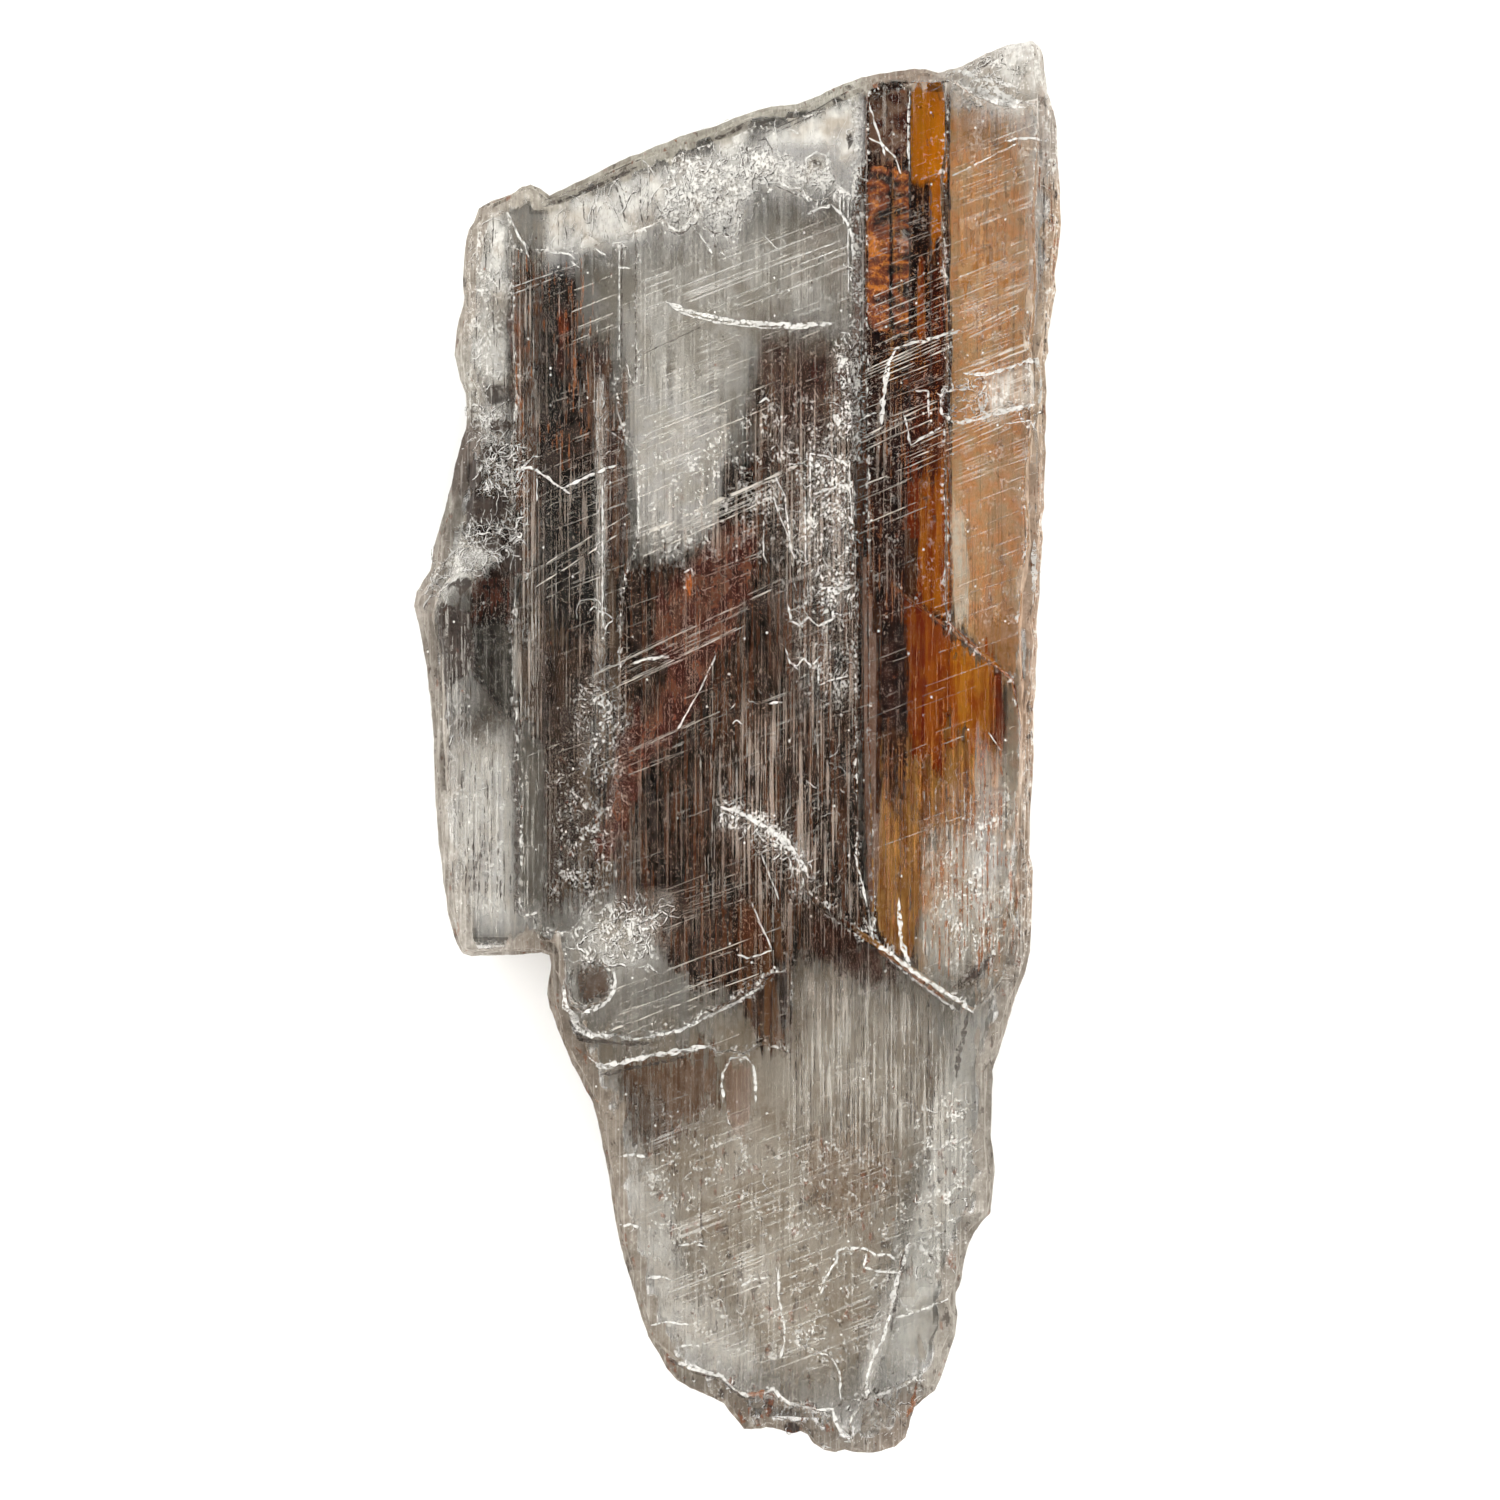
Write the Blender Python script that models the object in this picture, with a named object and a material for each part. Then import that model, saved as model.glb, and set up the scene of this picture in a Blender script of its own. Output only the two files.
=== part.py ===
"""A blade of selenite, clear gypsum split along its cleavage: one solid that lies on its flat back.

Lengths are in millimetres, and MM turns them into metres. X runs across the blade, Y along its fibres and
Z up through its sheets. The origin is under the middle of the blade, on the face that it rests on.
"""

import random

import bmesh
import bpy
from mathutils import Vector

MM = 0.001
HALF_LENGTH = 60.0
HALF_WIDTH = 27.5
THICKNESS = 13.0
OUTSIDE = 12.0  # how far a cutter runs past the blade
WALL_RISE = 4.0  # how much a split's wall rises for each length that it leans back
SEED = 7

# The silhouette, clockwise from the hump on the left, in runs that broke in the same way. A run has how far
# its front edge and its back edge stand in from the silhouette, and its points.
SILHOUETTE = (
    ("hump", 1.5, 2.0, [
        (-25.85, 0.5), (-26.1, 4.0), (-26.45, 6.8), (-26.8, 8.8), (-27.2, 10.6), (-HALF_WIDTH, 12.0), (-27.3, 13.2),
        (-26.6, 14.3), (-26.1, 15.1), (-25.8, 17.0), (-25.2, 19.1), (-24.8, 20.6), (-24.3, 22.4), (-23.9, 24.4),
        (-23.5, 25.8)]),
    ("upper_left", 1.1, 1.5, [
        (-23.0, 27.0), (-23.1, 30.0), (-23.6, 31.2), (-24.05, 33.4), (-23.9, 35.4), (-23.5, 37.0), (-23.2, 38.3),
        (-23.35, 39.8), (-23.2, 42.4), (-22.9, 43.9), (-22.35, 44.8), (-22.0, 45.75)]),
    ("knob", 0.9, 0.9, [
        (-20.9, 46.4), (-19.3, 47.0), (-18.3, 47.6), (-17.5, 47.8), (-16.8, 47.5), (-16.0, 46.85)]),
    ("top_edge", 1.7, 0.8, [
        (-15.0, 47.3), (-13.0, 48.3), (-10.0, 49.75), (-7.0, 51.0), (-5.0, 51.8), (-3.0, 52.45), (-1.0, 53.1),
        (0.6, 53.85), (2.8, 54.4), (5.0, 54.65), (7.0, 55.4), (9.0, 56.35), (10.5, 56.9), (12.0, 57.2),
        (13.5, 57.45), (15.0, 57.65), (16.0, 57.6), (17.0, 57.3)]),
    ("peak", 1.2, 1.0, [
        (18.5, 57.7), (20.0, 58.35), (21.5, 59.1), (23.0, 59.65), (24.3, 59.9), (25.1, HALF_LENGTH),
        (25.7, 59.6), (26.0, 58.7), (26.15, 57.0)]),
    ("upper_right", 1.0, 1.4, [
        (26.4, 55.6), (26.9, 54.0), (27.15, 52.6), (27.25, 50.0), (27.4, 47.0), (HALF_WIDTH, 44.4),
        (27.25, 42.0), (27.0, 40.3), (27.1, 38.9), (26.75, 37.0), (26.45, 35.0), (26.4, 33.6), (26.15, 32.6),
        (26.25, 30.2), (26.15, 26.5), (26.2, 25.0), (26.05, 22.0), (26.05, 20.2), (25.8, 19.1), (26.0, 17.6),
        (25.75, 15.3), (25.65, 12.6), (25.4, 10.2), (25.55, 8.6), (25.35, 6.6), (25.4, 4.8)]),
    ("lower_right", 1.0, 1.4, [
        (25.15, 3.4), (25.2, 0.2), (25.15, -2.2), (24.9, -5.0), (24.85, -7.6), (24.8, -9.0), (25.1, -10.2),
        (25.1, -12.0), (25.0, -15.0), (24.85, -17.4), (24.4, -19.4), (23.6, -21.3), (23.0, -23.3),
        (22.5, -25.0), (22.0, -26.6), (21.7, -27.5)]),
    ("tongue_right", 1.1, 1.6, [
        (21.65, -30.0), (21.55, -33.0), (21.8, -35.0), (21.85, -36.3), (21.7, -38.0), (21.45, -39.6),
        (20.8, -40.35), (20.2, -41.0), (19.7, -42.1), (19.3, -43.4), (19.05, -45.2), (18.6, -46.3),
        (18.5, -47.3), (18.7, -48.3), (18.55, -49.8), (18.1, -51.2), (17.7, -52.6), (17.3, -53.8)]),
    ("tip", 1.3, 1.6, [
        (16.7, -54.7), (15.8, -55.4), (15.1, -56.1), (14.75, -56.9), (14.6, -57.8), (14.2, -58.7), (13.4, -59.4),
        (12.3, -59.8), (11.0, -HALF_LENGTH), (9.9, -59.85), (9.1, -59.7), (8.2, -59.9), (7.3, -59.75),
        (6.5, -59.2), (5.9, -58.45), (5.3, -58.15), (4.6, -58.3), (3.4, -58.0), (2.4, -57.8), (1.2, -58.0),
        (0.5, -57.95), (-0.4, -56.8), (-1.2, -55.8)]),
    ("tongue_left", 1.0, 1.7, [
        (-2.4, -55.2), (-4.0, -54.5), (-5.1, -53.75), (-6.0, -52.9), (-6.7, -51.6), (-7.6, -50.1), (-8.2, -48.4),
        (-8.9, -45.9), (-9.6, -43.7), (-10.1, -41.7), (-10.45, -40.0), (-10.7, -38.2), (-11.0, -36.0),
        (-11.5, -33.9), (-11.85, -32.0), (-12.3, -30.3), (-13.2, -28.6), (-14.1, -26.8), (-14.8, -25.3),
        (-15.3, -23.9), (-15.9, -22.2), (-16.15, -21.0), (-16.05, -19.7)]),
    ("notch", 0.6, 0.9, [
        (-15.85, -18.6), (-15.95, -17.7), (-16.7, -17.45), (-18.2, -17.6), (-20.0, -17.7), (-21.6, -17.7),
        (-22.6, -17.8), (-23.3, -17.55)]),
    ("block", 0.9, 1.5, [
        (-23.85, -16.8), (-24.2, -15.9), (-24.65, -13.9), (-24.95, -11.6), (-25.2, -9.8), (-25.45, -7.8),
        (-25.6, -5.5), (-25.8, -1.8)]),
)

# The rim shows the edges of these sheets, like the pages of a book, counted from the back. A sheet has its
# upper height, and what share of the run's lean its edge stands in by: of the back lean while it is below
# zero, of the front lean while it is above.
PAGES = ((1.5, -1.0), (3.3, -0.45), (5.9, 0.0), (8.0, 0.2), (10.3, 0.5), (THICKNESS, 1.0))
PAGE_GAP = 0.14  # height of the small slope from one page's edge to the next
PAGE_SLOPE = 0.09  # how far a page's upper edge stands in from its lower edge
RAGGED = 0.22  # the most that a page's edge wanders
CORNER_SOFTNESS = 6  # how many neighbours take part in the way that the rim leans at a corner

# What split off the front. Each has its floor's height, how far its wall leans back, and its edge.
SPLIT_OFF = {
    "left_margin": (11.75, 0.35, [
        (-19.6, 60), (-19.3, 46), (-18.95, 38), (-18.7, 30.5), (-19.0, 24), (-18.55, 15.5), (-18.95, 9),
        (-18.75, 2.4), (-18.4, -6), (-18.35, -14.2), (-17.1, -14.3), (-16.7, -16), (-15.3, -16.6),
        (-14.9, -17.6), (-15.1, -21), (-39, -21), (-39, 60)]),
    "hump_rim": (8.4, 0.7, [
        (-22.7, 27.6), (-22.5, 24.4), (-22.85, 20.6), (-23.5, 17.4), (-24.3, 14.6), (-25.4, 12.8), (-25.8, 11.1),
        (-25.1, 7.7), (-24.95, 2.6), (-24.6, -3.3), (-39, -3.9), (-39, 28.3)]),
    "left_strip": (12.45, 0.12, [
        (-8.6, 62), (-8.5, 34), (-8.42, 30.9), (-8.75, 30.45), (-9.2, 31.9), (-10.3, 31.6), (-10.2, 28.2),
        (-9.5, 26.1), (-8.45, 24.9), (-8.3, 17.4), (-8.9, 16), (-9.6, 14.4), (-9.9, 8.3), (-10.1, 0.7),
        (-11.1, -7.6), (-12.2, -13.2), (-14.1, -15.5), (-25, -15.1), (-25, 62)]),
    "etched_band": (12.15, 0.2, [
        (-20, 41.9), (-15.5, 41.65), (-13.6, 41.45), (-12.6, 43.0), (-11.5, 42.25), (-9.3, 42.35), (-8.4, 43.4),
        (-7.2, 43.95), (-6.3, 44.45), (-5.6, 43.55), (-4.7, 43.15), (-4.1, 44.4), (-3.2, 44.9), (-2.6, 43.5),
        (-1.6, 43.05), (-0.3, 42.65), (0.3, 44.3), (0.9, 45.4), (1.9, 45.8), (2.6, 46.9), (4.1, 47.15),
        (5.6, 46.7), (6.6, 45.85), (7.6, 46.15), (8.6, 47.05), (9.45, 46.3), (9.75, 48), (9.9, 70), (-20, 70)]),
    "fibre_groove": (12.3, 0.1, [
        (9.55, 70), (9.4, 48), (9.75, 41), (9.5, 34.9), (9.8, 20), (10.1, 3), (10.15, -9.5), (10.9, -14.6),
        (11.25, -16.0), (11.35, -12), (10.95, 2), (10.9, 22), (10.7, 36), (10.75, 50), (11.0, 70)]),
    "right_sheet": (11.9, 0.3, [
        (17.65, 75), (17.6, 49.5), (17.25, 47.5), (17.45, 40), (17.75, 34.6), (17.6, 22.4), (17.7, 10.5),
        (20.1, 8.4), (23.2, 5.75), (23.9, 1.8), (23.75, -6), (23.0, -10.2), (23.2, -15.4), (22.4, -18.3),
        (40, -19.2), (40, 75)]),
    "right_rim": (10.2, 0.4, [
        (25.3, 54.8), (25.45, 49.8), (25.1, 45), (25.3, 39.3), (24.8, 33.3), (25.05, 27.3), (24.5, 22.6),
        (24.7, 17), (24.1, 13), (23.95, 9.3), (24.3, 3.9), (24.1, -4.4), (23.6, -9.7), (24.0, -15.8),
        (23.1, -19.3), (40, -19.9), (40, 54.4)]),
    "peak_sheet": (11.05, 0.6, [
        (17.2, 58.4), (18.5, 55.8), (19.4, 55.0), (20.8, 54.35), (22.4, 53.75), (23.6, 54.2), (25.2, 54.5),
        (40, 54.1), (40, 75), (17.2, 75)]),
    "slant_chip": (11.55, 0.15, [
        (18.2, 27.4), (17.2, 28.1), (17.3, 29.8), (20.3, 30.8), (21.0, 31.1), (24.75, 32.6), (25.6, 32.4),
        (25.6, 29.7), (24.4, 28.2), (22.0, 28.4)]),
    "lower_ledge": (11.55, 0.35, [
        (-15.6, -21.5), (-14.4, -21.9), (-13.1, -22.4), (-13.2, -23.3), (-12.4, -24.1), (-11.2, -24.4),
        (-9.9, -24.0), (-8.8, -24.55), (-7.4, -24.1), (-5.4, -24.0), (-3.6, -23.2), (-1.6, -22.0), (0.2, -21.2),
        (1.8, -20.2), (2.7, -19.3), (4.9, -18.8), (7.5, -18.1), (7.5, -30), (-15.6, -30)]),
    "round_dish": (12.0, 0.5, [
        (-13.0, -18.2), (-12.0, -17.9), (-11.1, -18.6), (-10.7, -19.6), (-10.9, -20.7), (-11.7, -21.4),
        (-12.9, -21.7), (-13.8, -21.0), (-14.0, -19.8), (-13.7, -18.8)]),
    "tongue": (10.25, 0.5, [
        (-39, -18.9), (-15.4, -18.8), (-14.8, -20), (-14.5, -21.9), (-13.7, -23.0), (-12.95, -24.5),
        (-12.65, -25.9), (-12.0, -26.6), (-11.0, -27.0), (-9.6, -26.6), (-8.0, -26.2), (-6.0, -25.95),
        (-4.0, -25.6), (-2.6, -25.3), (-1.8, -25.8), (-0.6, -25.7), (0.6, -25.95), (2.1, -25.1), (4.35, -25.6),
        (4.55, -19.5), (4.75, -13.2), (5.3, -12.2), (7.0, -13.7), (8.8, -15.0), (11.15, -16.5), (13.5, -18.3),
        (16.0, -19.9), (18.4, -21.6), (19.8, -22.4), (20.9, -21.7), (22.3, -19.6), (40, -18.6), (40, -80),
        (-39, -80)]),
    "tongue_right_plate": (9.3, 0.45, [
        (15.1, -41.0), (14.2, -42.2), (13.9, -43.6), (13.4, -45.4), (12.9, -47.4), (12.5, -49.2), (11.9, -50.8),
        (11.2, -52.6), (10.8, -54.0), (10.6, -55.3), (9.9, -56.6), (9.6, -58.0), (9.35, -72), (40, -72),
        (40, -38.2), (22.4, -38.8), (18.0, -39.9)]),
    "tongue_middle_plate": (9.95, 0.2, [
        (6.9, -46.4), (7.2, -45.2), (8.2, -43.9), (8.3, -42.9), (9.2, -42.5), (10.6, -42.7), (10.8, -43.9),
        (12.2, -44.3), (13.9, -44.2), (13.6, -46.0), (13.0, -48.5), (12.3, -50.4), (11.5, -52.6), (11.0, -55.0),
        (8.8, -54.9), (8.6, -52.6), (8.0, -51.3), (5.2, -50.2), (5.0, -49.9), (6.4, -49.4)]),
    "corner_plate": (8.7, 0.25, [
        (12.75, -48.15), (13.5, -48.05), (15.4, -47.5), (16.8, -46.85), (18.2, -46.35), (40, -45.2), (40, -71),
        (9.5, -71), (9.85, -57.6), (10.95, -55.1), (11.3, -53.4), (12.05, -51.2), (12.7, -49.4)]),
    "tip_left": (7.35, 0.5, [
        (-30, -50.2), (-6.9, -50.4), (-6.0, -51.3), (-4.9, -52.3), (-3.4, -53.0), (-1.8, -53.4), (-0.6, -54.3),
        (0.6, -54.9), (2.6, -54.6), (3.6, -55.4), (5.2, -55.7), (6.6, -56.3), (7.9, -56.7), (8.6, -57.8),
        (9.6, -58.5), (9.7, -80), (-30, -80)]),
    "tip_right": (7.55, 0.5, [
        (10.7, -55.5), (12.5, -54.5), (14.5, -53.7), (15.4, -53.8), (16.3, -54.6), (40, -53.6), (40, -78),
        (9.55, -78), (9.9, -57.4)]),
}

# What split off the back, above height zero, mostly along the same lines as the front. It leaves the flat
# face that the blade rests on.
BACK_SPLITS = {
    "back_tongue": (0.65, 0.3, [
        (-39, -28.2), (-14.2, -27.6), (-12.2, -27.3), (-9.7, -26.9), (-6.0, -26.2), (-2.4, -25.6), (0.5, -26.1),
        (3.4, -25.2), (4.6, -25.6), (4.7, -19.4), (5.2, -12.9), (7.0, -14.1), (11.2, -17.0), (16.0, -20.4),
        (19.7, -23.0), (21.2, -22.4), (23.2, -20.6), (40, -19.8), (40, -80), (-39, -80)]),
    "back_right": (0.5, 0.3, [
        (14.45, 75), (14.5, 50.2), (14.2, 41.6), (14.55, 33.4), (14.2, 24.6), (13.9, 13.3), (17.2, 10.9),
        (20.6, 8.0), (23.2, 5.8), (40, 4.6), (40, 75)]),
    "back_left": (0.6, 0.3, [
        (-39, 9.6), (-22.7, 9.3), (-22.4, 6.3), (-20.3, 3.7), (-18.8, 2.0), (-18.45, -1.6), (-18.6, -6.8),
        (-18.4, -11.4), (-18.7, -14.2), (-20.9, -14.9), (-39, -15.3)]),
}


def clear_scene():
    for thing in list(bpy.data.objects):
        bpy.data.objects.remove(thing)


def smoothed(values, times):
    """A closed run of numbers or vectors, each averaged with its neighbours so many times."""
    for _ in range(times):
        values = [
            (values[i - 1] + 2 * values[i] + values[(i + 1) % len(values)]) / 4 for i in range(len(values))
        ]
    return values


def moved_out(points, distances, softness=0):
    """A closed outline with each point moved away from its inside by its own distance.

    With softness, neighbours move in much the same direction, which keeps a sharp corner from folding over.
    """
    turn = sum(a[0] * b[1] - b[0] * a[1] for a, b in zip(points, points[1:] + points[:1]))
    side = 1 if turn > 0 else -1
    normals = []
    for i, _ in enumerate(points):
        along = (Vector(points[(i + 1) % len(points)]) - Vector(points[i - 1])).normalized()
        normals.append(Vector((along.y, -along.x)) * side)
    normals = smoothed(normals, softness)
    return [tuple(Vector(at) + way * far) for at, way, far in zip(points, normals, distances)]


def stacked(name, rings):
    """A closed solid through rings of equal length, from the lowest to the highest. A ring is (points, height)."""
    mesh = bmesh.new()
    layers = [[mesh.verts.new(Vector((x, y, height)) * MM) for x, y in points] for points, height in rings]
    for low, high in zip(layers, layers[1:]):
        for i in range(len(low)):
            mesh.faces.new((low[i - 1], low[i], high[i], high[i - 1]))
    mesh.faces.new(list(reversed(layers[0])))
    mesh.faces.new(layers[-1])
    bmesh.ops.recalc_face_normals(mesh, faces=mesh.faces)
    data = bpy.data.meshes.new(name)
    mesh.to_mesh(data)
    mesh.free()
    thing = bpy.data.objects.new(name, data)
    bpy.context.scene.collection.objects.link(thing)
    return thing


def blade():
    """The blade before anything splits off it: the silhouette through all its sheets, with a ragged rim."""
    chance = random.Random(SEED)
    points = [point for _, _, _, run in SILHOUETTE for point in run]
    front = smoothed([front for _, front, _, run in SILHOUETTE for _ in run], 2)
    back = smoothed([back for _, _, back, run in SILHOUETTE for _ in run], 2)
    rings = []
    foot = 0.0
    for top, share in PAGES:
        lean = front if share > 0 else back
        wander = smoothed([chance.uniform(-1, 1) for _ in points], 1)
        stands_in = [-(abs(share) * far + bool(share) * RAGGED * (1 + by)) for far, by in zip(lean, wander)]
        rings.append((moved_out(points, stands_in, CORNER_SOFTNESS), foot))
        rings.append((moved_out(points, [by - PAGE_SLOPE for by in stands_in], CORNER_SOFTNESS), top))
        foot = top + PAGE_GAP
    return stacked("selenite_crystal", rings)


def split(body, name, floor, lean, edge, front=True):
    """Takes the sheets beyond a floor off the body inside an edge, with a wall that leans back from the floor."""
    wide = moved_out(edge, [lean] * len(edge))
    if front:
        rings = [(edge, floor), (wide, floor + WALL_RISE * lean), (wide, THICKNESS + OUTSIDE)]
    else:
        rings = [(wide, -OUTSIDE), (wide, 0.0), (edge, floor)]
    cutter = stacked(name, rings)
    cutter.hide_render = True
    cutter.display_type = "WIRE"
    cut = body.modifiers.new(name, "BOOLEAN")
    cut.operation = "DIFFERENCE"
    cut.object = cutter


def selenite():
    """Clear gypsum with a faint warm tint."""
    material = bpy.data.materials.new("selenite")
    material.use_nodes = True
    shader = material.node_tree.nodes["Principled BSDF"]
    shader.inputs["Base Color"].default_value = (0.80, 0.77, 0.73, 1)
    shader.inputs["Roughness"].default_value = 0.08
    shader.inputs["IOR"].default_value = 1.52
    shader.inputs["Transmission Weight"].default_value = 1.0
    return material


clear_scene()
crystal = blade()
crystal.data.materials.append(selenite())
for sheet, (height, lean_back, line) in SPLIT_OFF.items():
    split(crystal, sheet, height, lean_back, line)
for sheet, (height, lean_back, line) in BACK_SPLITS.items():
    split(crystal, sheet, height, lean_back, line, front=False)
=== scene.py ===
"""The looks of a selenite blade: clear gypsum with clay seams, iron films, cracks and haze inside it.

Lengths are in millimetres unless a name says otherwise, and MM turns them into metres. X runs across the
blade, Y along its fibres and Z up through its sheets, as in the frame. Colours are written from 0 to 255.
"""

import math
import random

import bmesh
import bpy
import numpy as np
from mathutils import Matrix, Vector, noise
from mathutils.bvhtree import BVHTree
from mathutils.kdtree import KDTree


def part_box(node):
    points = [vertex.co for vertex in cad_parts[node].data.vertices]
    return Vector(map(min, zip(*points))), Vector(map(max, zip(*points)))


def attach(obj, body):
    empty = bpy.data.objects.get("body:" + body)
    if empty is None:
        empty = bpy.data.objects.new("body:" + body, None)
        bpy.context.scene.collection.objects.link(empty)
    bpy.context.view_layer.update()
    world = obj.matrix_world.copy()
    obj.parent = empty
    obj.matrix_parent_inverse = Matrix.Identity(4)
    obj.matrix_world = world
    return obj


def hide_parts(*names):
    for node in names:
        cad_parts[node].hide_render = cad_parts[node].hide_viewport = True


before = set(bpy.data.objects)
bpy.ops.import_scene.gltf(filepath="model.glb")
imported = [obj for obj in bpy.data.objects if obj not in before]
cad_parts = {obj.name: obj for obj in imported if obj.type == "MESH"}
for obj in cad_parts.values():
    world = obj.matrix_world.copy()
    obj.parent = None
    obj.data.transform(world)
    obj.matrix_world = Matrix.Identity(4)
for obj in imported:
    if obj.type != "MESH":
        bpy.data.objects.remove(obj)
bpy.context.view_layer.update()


# ---- The clear body -----------------------------------------------------------------------------------
# The blade itself is one piece of clear gypsum, split along its sheets and drawn out in fibres. Its skin is
# glassy on the flat sheets, ribbed along the fibres, and ragged where sheets broke off.
MM = 0.001
BODY_GRID = (0.3, 1.1, 0.9)  # the mesh's pitch across, along and up
BODY_IOR = 1.52
BODY_GLOSS = 0.03
BODY_TINT = (0.72, 0.68, 0.63)  # what BODY_TINT_LENGTH of it lets through
BODY_TINT_LENGTH = 30.0
FIBRE_RELIEF = 0.02
FRONT_STARTS, FRONT_WHOLE = 3.0, 7.0  # the heights between which the ribs of the front fade in
RAGGED_FROM = 2.0  # the flat back isn't ragged, and the breaks are wholly so from this height
RIBS = ((0.8, 30, 3.1, 1.0), (0.35, 12, 8.3, 0.5))  # how wide and long they are, their seed and their share
BREAK_RELIEF = 0.18
BREAK_LUMPS = ((1.4, 1.2, 0.6), (0.6, 0.5, 0.4))  # how wide and tall they are, and their share
BREAK_SEED = 11  # without one, noise vectors start from the clock
SHARP_TURN = math.radians(30)  # the skin is broken where it turns more sharply than this


class Wire:
    """An output of a shader node. Arithmetic on it adds Math nodes, and add makes any other node."""

    def __init__(self, tree, socket=None):
        self.tree, self.socket = tree, socket

    def add(self, kind, settings=None, inputs=None, output=0):
        node = self.tree.nodes.new("ShaderNode" + kind)
        for name, value in (settings or {}).items():
            setattr(node, name, value)
        for name, value in (inputs or {}).items():
            if isinstance(value, Wire):
                self.tree.links.new(value.socket, node.inputs[name])
            else:
                node.inputs[name].default_value = value
        return Wire(self.tree, node.outputs[output])

    def math(self, operation, *values):
        return self.add("Math", {"operation": operation}, dict(enumerate(values)))

    def __add__(self, other):
        return self.math("ADD", self, other)

    def __sub__(self, other):
        return self.math("SUBTRACT", self, other)

    def __rsub__(self, other):
        return self.math("SUBTRACT", other, self)

    def __mul__(self, other):
        return self.math("MULTIPLY", self, other)

    def __truediv__(self, other):
        return self.math("DIVIDE", self, other)

    __radd__, __rmul__ = __add__, __mul__

    def most(self, other):
        return self.math("MAXIMUM", self, other)

    def size(self):
        return self.math("ABSOLUTE", self)

    def smooth(self, low, high, out_low=0.0, out_high=1.0):
        """This value taken from low..high to out_low..out_high, with smooth ends, and held there."""
        inputs = {"Value": self, "From Min": low, "From Max": high, "To Min": out_low, "To Max": out_high}
        return self.add("MapRange", {"interpolation_type": "SMOOTHSTEP"}, inputs)

    def mix(self, first, second):
        """A colour between two, by this value."""
        return self.add("Mix", {"data_type": "RGBA"}, {0: self, 6: first, 7: second}, 2)

    def held(self, name, output="Fac"):
        """What the mesh holds under that name."""
        return self.add("Attribute", {"attribute_name": name}, output=output)

    def mapped(self, **settings):
        return self.add("Mapping", {}, {"Vector": self, **settings})

    def grain(self, per_mm, detail=2.0, roughness=0.5, place=(0, 0, 0), twist=0.0):
        """Noise from 0 to 1 with so many cells per millimetre, moved by place and turned about Z by twist."""
        where = self.add("TexCoord", output="Object").mapped(Location=[-each * MM for each in place])
        cells = where.mapped(Rotation=(0, 0, -twist)).mapped(Scale=[each / MM for each in per_mm])
        looks = {"Vector": cells, "Scale": 1.0, "Detail": detail, "Roughness": roughness}
        return self.add("TexNoise", {}, looks)

    def specks(self, per_mm, share, other_share, place=(0, 0, 0)):
        """Small round specks of two kinds, one in each of a share of the cells."""
        where = self.add("TexCoord", output="Object")
        cells = where.mapped(Scale=[each / MM for each in per_mm], Location=place)
        far = self.add("TexVoronoi", {}, {"Vector": cells, "Scale": 1.0})
        pick = self.add("TexVoronoi", {}, {"Vector": cells, "Scale": 1.0}, "Color")
        red = self.add("SeparateColor", {}, {"Color": pick}, "Red")
        spot = far.smooth(0.2, 0.08)
        return spot * red.smooth(share, share - 0.02), spot * red.smooth(1 - other_share, 1.02 - other_share)


def new_finish(name):
    """A new material with a Principled shader, as (material, shader node, a wire to start from)."""
    material = bpy.data.materials.new(name)
    material.use_nodes = True
    return material, material.node_tree.nodes["Principled BSDF"], Wire(material.node_tree)


def plug(wire, node, name):
    wire.tree.links.new(wire.socket, node.inputs[name])


def new_piece(name, mesh, material):
    """Makes an object of a bmesh, which rides on the crystal."""
    data = bpy.data.meshes.new(name)
    mesh.to_mesh(data)
    mesh.free()
    data.materials.append(material)
    piece = bpy.data.objects.new(name, data)
    bpy.context.scene.collection.objects.link(piece)
    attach(piece, "root")
    return piece


def cut_in_planes(mesh, faces, axis, planes):
    """Cuts faces along planes across an axis: the middle plane first, and then each half by itself."""
    if not planes:
        return
    middle = len(planes) // 2
    normal = Vector([float(i == axis) for i in range(3)])
    around = dict.fromkeys(part for face in faces for part in (*face.edges, *face.verts))
    made = bmesh.ops.bisect_plane(
        mesh, geom=faces + list(around), plane_co=normal * planes[middle] * MM, plane_no=normal, dist=1e-7)
    sides = [[], []]
    for face in made["geom"]:
        if isinstance(face, bmesh.types.BMFace):
            sides[face.calc_center_bounds()[axis] > planes[middle] * MM].append(face)
    cut_in_planes(mesh, sides[0], axis, planes[:middle])
    cut_in_planes(mesh, sides[1], axis, planes[middle + 1:])


def skin_moved(at):
    """Where a point of the cut solid goes: breaks sway sideways, and the front is ribbed along the fibres."""
    x, y, z = at
    sway = Vector()
    for wide, tall, share in BREAK_LUMPS:
        sway += noise.noise_vector(Vector((x / wide, y / wide, z / tall))) * share
    front = min(max((z - FRONT_STARTS) / (FRONT_WHOLE - FRONT_STARTS), 0), 1)
    rib = sum(share * noise.noise(Vector((x / wide, y / long, seed))) for wide, long, seed, share in RIBS)
    ragged = BREAK_RELIEF * min(z / RAGGED_FROM, 1)
    return Vector((x + sway.x * ragged, y + sway.y * ragged, z - front * (rib + 1) * FIBRE_RELIEF))


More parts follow.
